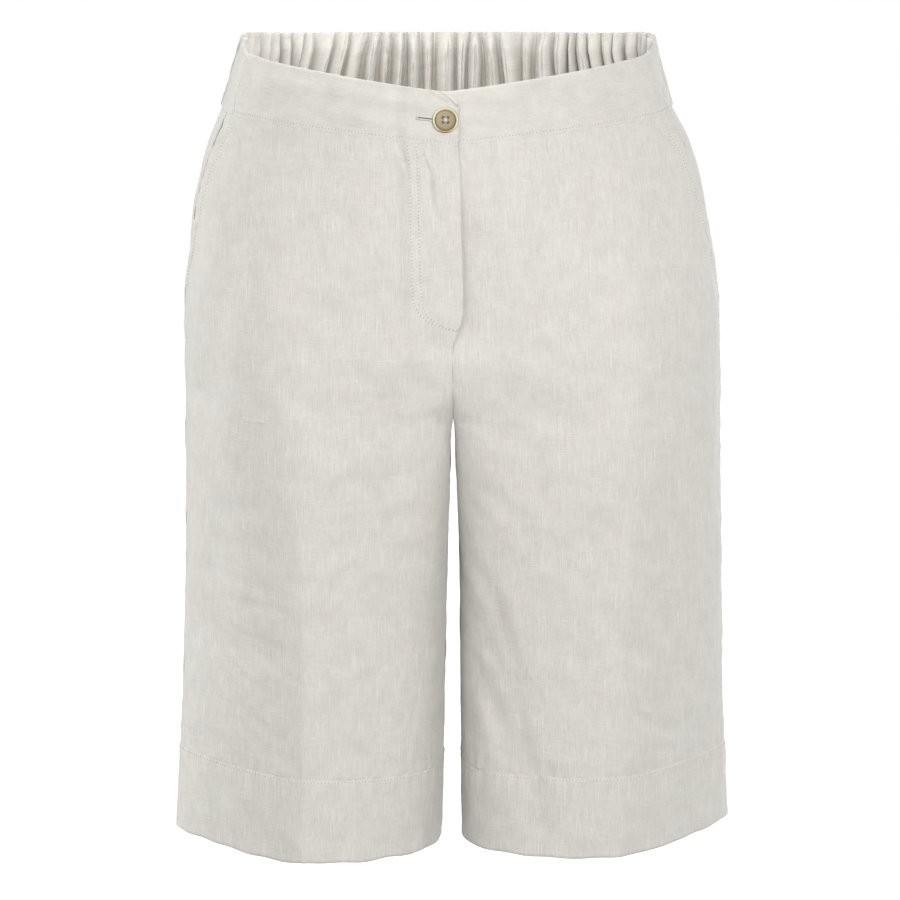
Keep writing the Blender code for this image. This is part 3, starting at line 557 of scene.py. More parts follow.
class Value:
    """A number in a shader, whose sums and products become Math nodes."""

    def __init__(self, finish, socket):
        self.finish, self.socket = finish, socket

    def _math(self, operation, first, second):
        """Math node that joins two numbers."""
        return self.finish.node("ShaderNodeMath", {"operation": operation}, {0: first, 1: second})[0]

    def __add__(self, other):
        return self._math("ADD", self, other)

    def __sub__(self, other):
        return self._math("SUBTRACT", self, other)

    def __mul__(self, other):
        return self._math("MULTIPLY", self, other)

    def __truediv__(self, other):
        return self._math("DIVIDE", self, other)

    def __pow__(self, other):
        return self._math("POWER", self, other)

    def __rsub__(self, other):
        return self._math("SUBTRACT", other, self)

    __radd__, __rmul__ = __add__, __mul__


class Finish:
    """A material under construction: its Principled shader, and any other node by one method."""

    def __init__(self, name, roughness, specular, colour=(0.8, 0.8, 0.8)):
        self.material = bpy.data.materials.new(name)
        self.material.use_nodes = True
        self.tree = self.material.node_tree
        self.shader = self.tree.nodes["Principled BSDF"]
        self.shader.inputs["Roughness"].default_value = roughness
        self.shader.inputs["Specular IOR Level"].default_value = specular
        self.shader.inputs["Base Color"].default_value = (*colour, 1)

    def node(self, kind, settings=None, inputs=None):
        """Add a node: settings first, then a value or a link for each socket; its outputs."""
        node = self.tree.nodes.new(kind)
        for key, value in (settings or {}).items():
            setattr(node, key, value)
        for key, value in (inputs or {}).items():
            if isinstance(value, Value):
                self.tree.links.new(value.socket, node.inputs[key])
            else:
                node.inputs[key].default_value = value
        return [Value(self, out) for out in node.outputs]

    def ramp(self, value, stops):
        """Colour ramp over a value from stops of (position, grey or colour)."""
        node = self.tree.nodes.new("ShaderNodeValToRGB")
        elements = node.color_ramp.elements
        while len(elements) < len(stops):
            elements.new(0.5)
        for element, (position, colour) in zip(elements, stops):
            element.position = position
            element.color = (*colour, 1) if isinstance(colour, tuple) else (colour, colour, colour, 1)
        self.tree.links.new(value.socket, node.inputs[0])
        return Value(self, node.outputs[0])

    def mix(self, factor, first, second):
        """Mix of two colours, each a tuple or a link."""
        colours = [(*c, 1) if isinstance(c, tuple) else c for c in (first, second)]
        settings = {"data_type": "RGBA"}
        return self.node("ShaderNodeMix", settings, {0: factor, 6: colours[0], 7: colours[1]})[2]

    def noise(self, vector, detail=1.0, roughness=0.5):
        """Noise from 0 to 1 at a vector that is already scaled."""
        inputs = {"Vector": vector, "Scale": 1.0, "Detail": detail, "Roughness": roughness}
        return self.node("ShaderNodeTexNoise", {}, inputs)[0]

    def scaled(self, vector, factor):
        """A vector times a number."""
        inputs = {0: vector, "Scale": factor}
        return self.node("ShaderNodeVectorMath", {"operation": "SCALE"}, inputs)[0]

    def link(self, value, socket):
        """Join a value to one of the Principled shader's sockets."""
        self.tree.links.new(value.socket, self.shader.inputs[socket])


YARN_PITCH = 0.00058  # centre to centre of two yarns
LINEN_WARM, LINEN_COOL = (0.588, 0.566, 0.519), (0.574, 0.561, 0.524)
LINEN_LIGHT, LINEN_DARK = (0.690, 0.674, 0.634), (0.480, 0.456, 0.408)
# Dark brown mixed into the gathered band's colour: painted shade in the troughs of its gathers.
LINEN_PAINTED_SHADE = (0.230, 0.200, 0.155)


def linen(name, crosswise=False, paint_fold_shade=False, slubs=1.0):
    """Plain-woven linen on the cloth's own cut: sparse slubs both ways, mottling, a weave bump.

    crosswise turns the grain a quarter, as on a band that is cut across the cloth. The second flag paints
    shade
    into the colour: darker where a mesh attribute says how deep in a gather the cloth lies.
    """
    finish = Finish(name, roughness=0.90, specular=0.18)
    finish.shader.inputs["Sheen Weight"].default_value = 0.35
    finish.shader.inputs["Sheen Roughness"].default_value = 0.4
    cut = finish.node("ShaderNodeUVMap", {"uv_map": "cut"})[0]
    u, v, _ = finish.node("ShaderNodeSeparateXYZ", {}, {0: cut})
    if crosswise:
        u, v = v, u
    place = finish.node("ShaderNodeTexCoord")[3]

    def yarns(across, along, turned, seed):
        """Noise drawn out along the warp, or along the weft when it is turned."""
        first, second = (along, across) if turned else (across, along)
        at = finish.node("ShaderNodeCombineXYZ", {}, {0: u / first, 1: v / second, 2: seed})[0]
        return finish.noise(at)

    thick_warp = finish.ramp(yarns(0.00125, 0.0240, False, 1.0), ((0.56, 0.0), (0.70, 1.0)))
    thin_warp = finish.ramp(yarns(0.00110, 0.0170, False, 9.0), ((0.32, 1.0), (0.45, 0.0)))
    thick_weft = finish.ramp(yarns(0.00120, 0.0170, True, 4.0), ((0.58, 0.0), (0.72, 1.0)))
    thin_weft = finish.ramp(yarns(0.00110, 0.0120, True, 6.0), ((0.30, 1.0), (0.42, 0.0)))
    fine = yarns(0.00060, 0.0060, False, 2.0) * 0.55 + yarns(0.00060, 0.0045, True, 5.0) * 0.45
    broad = finish.noise(finish.scaled(place, 24.0), detail=3.0, roughness=0.6)
    colour = finish.ramp(broad, ((0.34, LINEN_WARM), (0.64, LINEN_COOL)))
    patchy = finish.noise(finish.scaled(place, 75.0), detail=4.0, roughness=0.7)
    for value, low, dark, high, light in ((fine, 0.40, 0.22, 0.60, 0.22), (patchy, 0.36, 0.20, 0.64, 0.18)):
        colour = finish.mix(finish.ramp(value, ((low, dark), (0.50, 0.0))), colour, LINEN_DARK)
        colour = finish.mix(finish.ramp(value, ((0.50, 0.0), (high, light))), colour, LINEN_LIGHT)
    for slub, share, painted_shade_values in ((thick_warp, 0.46, LINEN_LIGHT), (thin_warp, 0.32, LINEN_DARK),
                              (thick_weft, 0.26, LINEN_LIGHT), (thin_weft, 0.20, LINEN_DARK)):
        colour = finish.mix(slub * (share * slubs), colour, painted_shade_values)
    # Painted shade: deep in the gathers the colour goes towards the dark brown above.
    if paint_fold_shade:
        deep = finish.node("ShaderNodeAttribute", {"attribute_name": "painted_shade"})[2]
        colour = finish.mix(deep * 0.78, colour, LINEN_PAINTED_SHADE)
    finish.link(colour, "Base Color")
    over, under = (
        finish.node("ShaderNodeMath", {"operation": "SINE"}, {0: value * (math.pi / YARN_PITCH)})[0]
        for value in (u, v))
    relief = fine * 0.9 + thick_warp * 0.35 + thick_weft * 0.28 - thin_warp * 0.2 + over * under * 0.16
    height = {"Strength": 0.50, "Distance": 0.0005, "Height": relief}
    bumped = finish.node("ShaderNodeBump", {}, height)[0]
    finish.link(bumped, "Normal")
    return finish.material


panel_linen = linen("panel_linen")


LEAST_CUT = 0.31  # a cut piece fills at least this share of its width times its length


def finish_cloth(piece, node, material, outer):
    """Give a cloth piece its material and body and hide its imported part; its flat cut size is worked out,
    not kept.
    """
    piece.data.materials.append(material)
    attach(piece, "root")
    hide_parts(node)
    across = arc_length(outer, 1)
    down = arc_length(outer, 0)
    cells = np.cross(outer[1:, :-1] - outer[:-1, :-1], outer[:-1, 1:] - outer[:-1, :-1])
    area = float(np.linalg.norm(cells, axis=2).sum())
    width, length = float(across[:, -1].max()), float(down[-1].max())
    area = min(max(area, LEAST_CUT * width * length), width * length)


def flat_cut(grid, crease):
    """Flat coordinates of a panel or hem: distance from its crease, and height on the grain."""
    return np.stack([grid.place - crease, grid.z], axis=2)


def inner_places(crease, crease_x, end, even=INNER_EVEN):
    """Places from a crease to the inner edge: even to the corner, then closest together there."""
    corner = crease + min(end - crease - CORNER, crease_x - CORNER / 2)
    near = corner + (end - corner) * np.linspace(0, 1, INNER_COLUMNS + 1)[1:] ** 1.5
    return np.concatenate([np.linspace(crease, corner, even + 1)[1:], near])


def pocket_opening(height):
    """How far the pocket's mouth is open at a height, 0 to 1: widest in its upper third."""
    t = np.clip((POCKET_TOP - height) / (POCKET_TOP - POCKET_END), 0, 1)
    return np.sin(math.pi * t ** 0.5)


def fly_share(height, side):
    """1 beside the fly and 0 below its end; the cloth underneath ends before the lap does."""
    taper = FLY_TAPER if side == RIGHT else 0
    return ease((height - FLY_END + taper) / (taper + 0.010))


def front_places(loop):
    """Columns of a front panel: pocket edge to crease, crease to inner edge with its lap."""
    opening = float(pocket_opening(loop.height))
    share = float(fly_share(loop.height, loop.side))
    wave = math.sin(loop.height / 0.0037 + loop.side) + 0.8 * math.sin(loop.height / 0.0087)
    seam = loop.panel_seam + opening * (POCKET_GAPE + 0.0009 * wave)
    crease_x = loop.leg["right_crease" if loop.side == RIGHT else "left_crease"]
    inner = inner_places(loop.front_crease, crease_x, loop.front_end - loop.inseam)
    lap = share * (LAP if loop.side == RIGHT else UNDERLAP)
    inner[-INNER_COLUMNS:] += lap * np.linspace(0, 1, INNER_COLUMNS + 1)[1:]
    near_mouth = np.linspace(seam, seam + MOUTH_HEM, 14)[:-1]
    return -np.concatenate([near_mouth, np.linspace(seam + MOUTH_HEM, loop.front_crease, 52), inner])


def lap_lift(grid, rise):
    """Lift of the right front beside the fly, where it climbs over the left one."""
    from_centre = grid.place + grid.column("front_end")
    return rise * ease((LAP_RISE_START - from_centre) / (LAP_RISE_START - LAP_RISE_END))


def front_lift(grid):
    """Lift of a front panel: folds, crumple, seams that draw in, pocket mouth, fly."""
    side, place, height = grid.side, grid.place, grid.row
    lift = -creased(grid) * ease((BAND_SEAM - height) / 0.005)
    free = ease((BAND_SEAM - height) / 0.014)
    lift += 0.00036 * crumple(place, grid.z, 0.034, 11 + side) * free
    lift += 0.00010 * crumple(place, grid.z, 0.012, 21 + side)
    from_edge = grid.from_column(0)
    opening = pocket_opening(height)
    lift += POCKET_LIFT * opening * decay(from_edge, 0.011)
    mouth = 0.00090 * pucker(height - 0.5 * from_edge, from_edge - 0.006, 0.0115, 0.007, 31 + side)
    mouth -= 0.00060 * bell(from_edge - MOUTH_STITCH, 0.0014)
    lift += mouth * ease(opening / 0.3)
    lift -= SEAM_SINK * (1 - ease(opening / 0.2)) * decay(from_edge, 0.0013)
    lift -= EDGE_SINK * decay(BAND_SEAM - height, 0.0014)
    lift += 0.00034 * pucker(place, BAND_SEAM - height, 0.012, 0.012, 41 + side)
    lift -= EDGE_SINK * decay(height - HEM_SEAM, 0.0016)
    lift += 0.00040 * pucker(place, height - HEM_SEAM, 0.0105, 0.011, 51 + side)
    from_inner = grid.from_column(-1)
    fly = fly_share(height, side)
    lift -= SEAM_SINK * (1 - fly) * decay(from_inner, 0.0014)
    turned = (1 - np.abs(grid.ny)) * decay(from_inner, 0.010)
    if side == LEFT:
        beside_fly = bell(np.maximum(grid.x - 0.004, 0), FLY_DIP_WIDTH)
        dip_ends = ease((BAND_SEAM - height) / 0.09) * ease((height - FLY_DIP_END) / 0.040)
        lift -= FLY_DIP * beside_fly * dip_ends
    lift *= 1 - np.clip(turned, 0, 1)
    if side == RIGHT:
        under_band = (BAND_WALL - PANEL_WALL) * decay(BAND_SEAM - height, 0.012)
        lift += lap_lift(grid, PANEL_WALL + LAP_CLEARANCE + under_band) * np.sqrt(fly)
        beside = ease((height - FLY_END) / 0.010)
        lift += 0.00040 * beside * pucker(height, from_inner - 0.033, 0.0120, 0.006, 61)
        lift -= SEAM_SINK * beside * bell(from_inner - 0.0305, 0.0022)
        lift += 0.00030 * beside * free * pucker(height, from_inner, 0.0170, 0.005, 62)
    return lift


def stitches(name, path, normals, length=0.0018, gap=0.0007, radius=0.00019, start=0.0005):
    """Sewn line along a path: one small arched bead of thread for each stitch.

    Each bead is a tube of six sides and five rings, thinnest at its ends, where it dips into
    the cloth.
    """
    distance = np.concatenate([[0], np.cumsum(np.linalg.norm(np.diff(path, axis=0), axis=1))])
    starts = np.arange(start, distance[-1] - length, length + gap)
    at = starts[:, None] + length * np.linspace(0, 1, 5)
    centre = np.stack([np.interp(at, distance, path[:, k]) for k in range(3)], axis=2)
    normal = np.stack([np.interp(at, distance, normals[:, k]) for k in range(3)], axis=2)
    normal /= np.linalg.norm(normal, axis=2)[:, :, None]
    along = centre[:, -1:] - centre[:, :1]
    along = along / np.linalg.norm(along, axis=2)[:, :, None]
    across = np.cross(along + 0 * normal, normal)
    swell = np.array([0.35, 0.9, 1.0, 0.9, 0.35])
    arch = np.array([-0.6, 0.5, 0.8, 0.5, -0.6])
    turn = math.tau * np.arange(6) / 6
    r = radius * swell[None, :, None, None]
    ring = (across[:, :, None] * np.cos(turn)[:, None] + normal[:, :, None] * np.sin(turn)[:, None]) * r
    points = centre[:, :, None] + ring + normal[:, :, None] * (radius * arch)[None, :, None, None]
    caps = np.array([[0, 5, 4, 3], [3, 2, 1, 0], [24, 25, 26, 27], [27, 28, 29, 24]])
    bead = np.concatenate([tube_faces(5, 6), caps])
    faces = (bead + 30 * np.arange(len(starts))[:, None, None]).reshape(-1, 4)
    piece = from_faces(name, points, faces.tolist())
    piece.data.shade_smooth()
    piece.data.materials.append(thread)
    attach(piece, "root")
    # A dark bead in each gap between stitches is painted shade, standing in for the shadow in each needle
    # hole.
    if length > 0.001:
        sunk = path - normals * 0.2 * radius
        painted_hole_beads = stitches(name + "_holes", sunk, normals, length=gap, gap=length, radius=0.00026,
                         start=start + length)
        painted_hole_beads.data.materials[0] = painted_needle_hole_shade
    return piece


def down_line(grid, points, places):
    """Path down a grid's rows at one place in each, with its normals; nan leaves a row out."""
    order = np.argsort(grid.place[0])
    return [np.array([[np.interp(place, grid.place[i, order], values[i, order, k]) for k in range(3)]
                      for i, place in enumerate(places) if not math.isnan(place)])
            for values in (points, grid.normals())]


def along_line(grid, points, height):
    """Path along a grid at one height, with its normals."""
    at = float(np.interp(-height, -grid.heights, np.arange(len(grid.heights))))
    i = min(int(at), len(grid.heights) - 2)
    t = at - i
    return points[i] * (1 - t) + points[i + 1] * t, grid.normals()[i]


thread = Finish("thread", roughness=0.6, specular=0.35, colour=(0.76, 0.745, 0.700)).material
# Dark colour of those beads: painted shade.
painted_needle_hole_shade = Finish("painted_needle_hole_shade", roughness=1.0, specular=0.0, colour=(0.30, 0.275, 0.225)).material
FLY_STITCHES = (0.0212, 0.0270)  # from the centre front to each line of the fly's topstitching
FLY_BEND, FLY_STITCH_END = 0.020, 0.006  # the lines bend above the fly's end and run on below it
BARTACK_ROWS, BARTACK_COLUMNS = (0.0, 0.0012), slice(1, 12)
panel_heights = np.concatenate([
    np.linspace(BAND_SEAM, BAND_SEAM - 0.020, 15),
    np.linspace(BAND_SEAM - 0.020, FORK_TOP, 52)[1:],
    FORK_TOP - (FORK_TOP - CROTCH) * np.sin(np.radians(np.linspace(0, 90, 57)[1:])),
    np.linspace(CROTCH, HEM_SEAM + 0.016, 84)[1:],
    np.linspace(HEM_SEAM + 0.016, HEM_SEAM, 13)[1:]])
for side, word in SIDES:
    grid = Grid(side, panel_heights, front_places)
    lift = front_lift(grid)
    outer, inner = grid.points(lift), grid.points(lift - PANEL_WALL)
    cut = flat_cut(grid, -grid.column("front_crease"))
    panel = cloth_mesh("front_panel_" + word, outer, inner, cut, round_edges=(0, 0.0006, 0, 0.0006))
    finish_cloth(panel, "front_" + word, panel_linen, outer)
    inside = grid.place[:, 0] - MOUTH_STITCH
    beside_mouth = (grid.heights < POCKET_TOP - 0.004) & (grid.heights > POCKET_END)
    lines = [np.where(beside_mouth, inside, math.nan)]
    if side == RIGHT:
        centre = -grid.column("front_end")[:, 0]
        curve = np.clip((FLY_END + FLY_BEND - grid.heights) / 0.0245, 0, 1)
        for offset in FLY_STITCHES:
            across = offset - (offset + 0.004) * (1 - np.sqrt(np.clip(1 - curve ** 2, 0, 1)))
            lines.append(np.where(grid.heights > FLY_END - FLY_STITCH_END, centre + across, math.nan))
    for number, line in enumerate(lines):
        path, normals = down_line(grid, outer, line)
        stitches("topstitch_front_%s_%d" % (word, number), path, normals)
    end_row = int(np.argmin(np.abs(grid.heights - POCKET_END)))
    for rise in BARTACK_ROWS:
        path = outer[end_row, BARTACK_COLUMNS] + np.array([0, 0, rise])
        normals = grid.normals()[end_row, BARTACK_COLUMNS]
        stitches("bartack_%s_%d" % (word, 1e4 * rise), path, normals,
                 length=0.0009, gap=0.0002, radius=0.00042)

# ---- back panels ---------------------------------------------------------------------------
# Two panels of the same linen, fuller than the fronts, drawn up in small gathers where they join
# the elasticated band. The gathers open out and die away over the seat.
BAND_TOP = 0.0145
GATHERS = 18  # on each side of the centre back
LEAST_GATHER = 0.0028  # between two troughs
GATHER_SEED = 150  # the outside of the band and the panels below it share their troughs


def gather_phase(fraction, side):
    """Gathers counted from the side to a fraction of the way to the centre back, unevenly."""
    slow, quick = (5, 13) if side == RIGHT else (4, 11)
    return (GATHERS * fraction + 0.32 * np.sin(math.pi * slow * fraction)
            + 0.14 * np.sin(math.pi * quick * fraction))


def gather_lines(grid, seed):
    """Places of the troughs on each row: slanting, bowed lines that start evenly at the band.

    A line for each gather, then the mirror image of the last one beyond the centre back.
    """
    draw = np.random.default_rng(seed)
    fraction = np.linspace(0, 1, 4001)
    even = np.interp(np.arange(GATHERS) + 0.5, gather_phase(fraction, grid.side), fraction)
    slant, bend = draw.uniform(-0.17, 0.17, GATHERS), draw.uniform(-0.0022, 0.0022, GATHERS)
    slant[[0, -1]] = 0
    below = (BAND_TOP - grid.heights)[:, None]
    back_end = grid.column("back_end")
    lines = even * back_end + slant * (below - 0.012) + bend * np.sin(math.pi * below / 0.043)
    spread = LEAST_GATHER * np.arange(GATHERS)
    lines = np.maximum.accumulate(lines + spread, axis=1) - spread
    return np.concatenate([lines, 2 * back_end - lines[:, -1:]], axis=1)


def back_places(loop):
    """Columns of a back panel: side seam, past the crease, to the centre or inner seam."""
    end = loop.back_end + loop.inseam
    inner = inner_places(loop.back_crease, loop.leg["right_crease"], end, even=76)
    return np.concatenate([np.linspace(-loop.panel_seam, loop.back_crease, 75), inner])


def back_lift(grid):
    """Lift of a back panel: gathers of uneven length under the band, folds, drawn-in seams."""
    side, place, height = grid.side, grid.place, grid.row
    draw = np.random.default_rng(70 + side)
    below = BAND_SEAM - height
    lift = -creased(grid)
    lift += 0.00038 * crumple(place, grid.z, 0.036, 81 + side)
    lift += 0.00010 * crumple(place, grid.z, 0.012, 91 + side)
    lines = gather_lines(Grid(side, [BAND_SEAM], lambda loop: [0.0]), GATHER_SEED)[0]
    for k, line in enumerate(lines[:-1]):
        reach = draw.uniform(0.020, 0.095)
        slant = draw.uniform(-0.06, 0.06)
        deep = draw.uniform(0.0012, 0.0030)
        t = np.clip(below / reach, 0, 1)
        width = 0.0014 + 0.0050 * t
        fade = (1 - t) ** 1.5 * min((k + 0.5) / 2, 1)
        u = (place - line - slant * below) / width
        lift -= deep * fade * (bell(u, 1) - 0.45 * bell(np.abs(u) - 1.6, 0.8))
    from_side = grid.from_column(0)
    from_inner = grid.from_column(-1)
    lift -= SEAM_SINK * decay(from_side, 0.0013)
    lift -= SEAM_SINK * decay(from_inner, 0.0013)
    lift += 0.00020 * pucker(height, from_side, 0.014, 0.009, 101 + side)
    lift += 0.00020 * pucker(height, from_inner, 0.014, 0.009, 103 + side)
    lift -= EDGE_SINK * decay(below, 0.0014)
    lift -= EDGE_SINK * decay(height - HEM_SEAM, 0.0016)
    lift += 0.00040 * pucker(place, height - HEM_SEAM, 0.0105, 0.011, 105 + side)
    return lift


for side, word in SIDES:
    grid = Grid(side, panel_heights, back_places)
    lift = back_lift(grid)
    outer, inner = grid.points(lift), grid.points(lift - PANEL_WALL)
    cut = flat_cut(grid, grid.column("back_crease"))
    panel = cloth_mesh("back_panel_" + word, outer, inner, cut)
    finish_cloth(panel, "back_" + word, panel_linen, outer)

# ---- pocket bearers ------------------------------------------------------------------------
# The strip of linen behind each pocket's mouth, on which the pocket hangs. It is sewn into the
# side seam and the band, and only its edge shows where the mouth gapes.
BEARER_DEPTH, BEARER_FRONT, BEARER_BACK = 0.0009, 0.020, 0.008
BEARER_COLUMNS = 18
for side, word in SIDES:
    grid = Grid(side, np.linspace(POCKET_TOP - 0.0005, POCKET_END, 60),
                lambda loop: -loop.panel_seam + np.linspace(-BEARER_FRONT, BEARER_BACK, BEARER_COLUMNS))
    from_middle = grid.from_column(BEARER_COLUMNS // 2)
    deeper = 0.0042 * pocket_opening(grid.row) * bell(from_middle, 0.007)
    sunk = -PANEL_WALL - BEARER_DEPTH - creased(grid) - deeper
    outer, inner = grid.points(sunk), grid.points(sunk - PANEL_WALL)
    bearer = cloth_mesh("pocket_bearer_cloth_" + word, outer, inner, flat_cut(grid, 0.0))
    finish_cloth(bearer, "pocket_bearer_" + word, panel_linen, outer)

# ---- front waistband -----------------------------------------------------------------------
# A flat band of doubled linen in two halves, cut across the grain and pressed. The right half
# laps over the left one with a rounded corner and carries the buttonhole.
BAND_PROUD = 0.0003
LAP_CORNER = (0.0116, 0.0120, 2.3)  # how far it reaches along the top edge and down, how full
band_linen = linen("band_linen", crosswise=True, slubs=0.5)
band_heights = np.linspace(BAND_TOP, BAND_SEAM, 34)
top_loops = {side: Loop(side, BAND_TOP) for side, _ in SIDES}


def front_band_places(loop):
    """Columns of a front band: side seam to the lap, whose top corner is rounded off."""
    top = top_loops[loop.side]
    from_top = float(loop.height_at(-loop.front_end) - top.height_at(-top.front_end))
    along, down, power = LAP_CORNER
    corner = along * max(1 + from_top / down, 0) ** power
    beyond = LAP - corner if loop.side == RIGHT else UNDERLAP
    return -np.linspace(loop.band_seam, loop.front_end + beyond, 150)


BAND_STITCH = 0.0030  # from the band's lower seam to its topstitching
BAND_WRINKLES = (
    "slant x_at_top width depth",
    (1.9, -0.0190, 0.0021, 0.0011),
    (1.0, -0.0078, 0.0012, 0.0013),
)


def front_band_lift(grid):
    """Lift of a front band: soft waves along it, rounded top edge, puckers over its stitching."""
    side, place, height = grid.side, grid.place, grid.row
    from_side = grid.from_column(0)
    lift = BAND_PROUD + 0 * place
    free = ease((height - BAND_SEAM) / 0.014)
    lift += 0.00080 * crumple(0.30 * place, height, 0.016, 111 + side) * free
    lift += 0.00040 * crumple(place, 0.5 * height, 0.022, 121 + side) * free
    lift -= 0.00040 * decay(BAND_TOP - height, 0.0010)
    lift -= 0.00030 * decay(height - BAND_SEAM, 0.0012)
    lift += 0.00030 * pucker(place, height - BAND_SEAM - 0.003, 0.012, 0.005, 131 + side)
    lift -= 0.00025 * bell(height - BAND_SEAM - BAND_STITCH, 0.0010)
    lift -= 0.00080 * decay(from_side, 0.0016)
    if side == RIGHT:
        lift += lap_lift(grid, BAND_WALL + LAP_CLEARANCE)
        lift += 0.0007 * decay(grid.from_column(-1), 0.0035) * free
        from_top = height - BAND_TOP
        fade = bell(from_top + 0.0075, 0.0045)
        for slant, x_at_top, width, deep in BAND_WRINKLES[1:]:
            across = grid.x - 0.001 + slant * from_top - x_at_top
            lift -= deep * fade * (bell(across, width) - 0.5 * bell(across - 2 * width, width))
    return lift


for side, word in SIDES:
    grid = Grid(side, band_heights, front_band_places)
    lift = front_band_lift(grid)
    outer, inner = grid.points(lift), grid.points(lift - BAND_WALL)
    cut = np.stack([grid.place, grid.row], axis=2)
    band = cloth_mesh("front_band_" + word, outer, inner, cut, round_edges=(0.0009, 0.0009, 0, 0))
    finish_cloth(band, "waistband_front_" + word, band_linen, outer)
    path, normals = along_line(grid, outer, BAND_SEAM + BAND_STITCH)
    stitches("topstitch_band_" + word, path, normals)

# ---- back waistband ------------------------------------------------------------------------
# One long band of doubled linen round a broad elastic, which draws it up in deep, uneven gathers
# inside and out. They fan and slant, widen downwards and break into small tucks at the top edge.
# The inside's gather troughs get shade painted into their colour.
def back_band_places(loop):
    """Columns of half the back band: side seam to the widest point, then to the centre back."""
    return np.concatenate([np.linspace(-loop.band_seam, 0, 31)[:-1], np.linspace(0, loop.back_end, 490)])


def puffs(grid, seed, tallest):
    """Height of one gathered face: a dome between each two troughs, which widen downwards."""
    place = grid.place
    draw = np.random.default_rng(seed)
    lines = gather_lines(grid, seed)
    lines = np.concatenate([-lines[:, :1], lines], axis=1)
    phase = np.array([np.interp(p, line, np.arange(len(line))) for p, line in zip(place, lines)])
    k = np.minimum(phase.astype(int), len(lines[0]) - 2)
    count = k.max() + 1
    top, bottom = draw.uniform(0.01, 0.05, count), draw.uniform(0.03, 0.20, count)
    bottom += 0.07 * (grid.side == RIGHT)
    power, lean = draw.uniform(0.40, 0.85, count), draw.uniform(-0.85, 0.85, count)
    tall = tallest * draw.uniform(0.60, 1.0, count)
    fold, late = draw.uniform(0.25, 0.75, count), draw.uniform(-0.2, 0.7, count)
    top[-1], bottom[-1], tall[-1], lean[-1], fold[-1] = 0.03, 0.08, 0.8 * tallest, 0, 0.5
    t = (BAND_TOP - grid.row) / (BAND_TOP - BAND_SEAM)
    floor = top[k] + (bottom[k] - top[k]) * t
    f = np.clip((phase - k - floor) / (1 - 2 * floor), 0, 1)
    f = f + lean[k] * f * (1 - f)
    dome = np.sin(math.pi * f) ** power[k] * (0.55 + 0.45 * ease(t / 0.35))
    nick = 0.30 * bell(f - fold[k], 0.07) * ease((t - late[k]) / 0.3) * (dome > 0.3)
    return tall[k] * (dome - nick * dome)


gathered_linen = linen("gathered_linen", crosswise=True, paint_fold_shade=True, slubs=0.5)
halves = []
for side in (RIGHT, LEFT):
    grid = Grid(side, np.linspace(BAND_TOP, BAND_SEAM, 38), back_band_places)
    place = grid.place
    below = BAND_TOP - grid.row
    down = below / (BAND_TOP - BAND_SEAM)
    soft = 0.00022 * crumple(place, grid.row, 0.015, 141 + side)
    full, full_inside = ease((place + 0.018) / 0.034), ease((place + 0.014) / 0.018)
    tucks = np.abs(np.sin(math.pi * place / 0.0041 + 2.5 * np.sin(place / 0.013) + side)) ** 0.7
    fine = 0.0008 * (tucks - 1) * decay(below, 0.0045) * full
    pillows = puffs(grid, 160 + side, 0.0104)
    lift_in = BAND_PROUD - BAND_WALL + soft - full_inside * pillows + full * 0.0040 - fine
    lift_out = BAND_PROUD + soft + full * (puffs(grid, GATHER_SEED, 0.0028) - 0.0008) + fine
    lift_out = np.maximum(lift_out, lift_in + 0.0011)
    round_top = decay(below, 0.0010)
    from_side = grid.from_column(0)
    seam_in = decay(from_side, 0.0013) + decay(grid.row - BAND_SEAM, 0.0012)
    lift_out -= 0.0004 * round_top + 0.0003 * np.minimum(seam_in, 1)
    behind_seam = ease(from_side / 0.030)
    rise = 0.0058 * bell(place - 0.012, 0.055) * behind_seam * (1 - down) ** 1.3
    rise -= 0.0006 * (1 - tucks) * decay(below, 0.002) * full
    outer = grid.points(lift_out, rise)
    inner = grid.points(lift_in + 0.0004 * round_top, rise)
    # Painted shade: how dark each point inside is, most in the troughs between the pillows and lower down.
    painted_shade = full_inside * np.clip(1 - pillows / 0.0050, 0, 1) * ease(0.25 + down)
    if side == RIGHT:
        centre_back, along = place[0, -1], place
    else:
        along = 2 * centre_back - place
    halves.append((outer, inner, np.stack([along, grid.row], axis=2), painted_shade))
outer, inner, cut, painted_shade = (
    np.concatenate([right, left[:, -2::-1]], axis=1) for right, left in zip(*halves))
back_band = cloth_mesh("back_band", outer, inner, cut, round_edges=(0.0008, 0, 0, 0))
# Only the inner face carries the painted shade.
painted_shade_values = np.zeros(len(back_band.data.vertices), np.float32)
painted_shade_values[painted_shade.size:2 * painted_shade.size] = painted_shade.ravel()  # the inner face's points follow the outer's
back_band.data.attributes.new("painted_shade", "FLOAT", "POINT").data.foreach_set("value", painted_shade_values)
finish_cloth(back_band, "waistband_back", gathered_linen, outer)

# ---- hems ----------------------------------------------------------------------------------
# The bottom 60 mm of each leg, turned up inside and sewn down with one line of topstitching,
# which draws the cloth into small puckers.
HEM_WALL, HEM_PROUD = 0.0024, 0.0007
HEM_EDGE = -0.559
HEM_STITCH = 0.0022  # from the panels' seam down to the topstitching
HEM_SIDE_COLUMNS = 61
hem_heights = np.concatenate([np.linspace(HEM_SEAM, HEM_SEAM - 0.012, 13),
                              np.linspace(HEM_SEAM - 0.012, HEM_EDGE, 26)[1:]])


def hem_places(loop):
    """Columns of a hem: right round the leg from the front of the side seam."""
    front, back = (
        np.concatenate([np.linspace(turn * loop.panel_seam, crease, HEM_SIDE_COLUMNS),
                        inner_places(crease, loop.leg["right_crease"], end - turn * loop.inseam)])
        for turn, crease, end in ((1, loop.front_crease, loop.front_end),
                                  (-1, loop.back_crease, loop.back_end)))
    return np.concatenate([-front, back[-2:0:-1]])


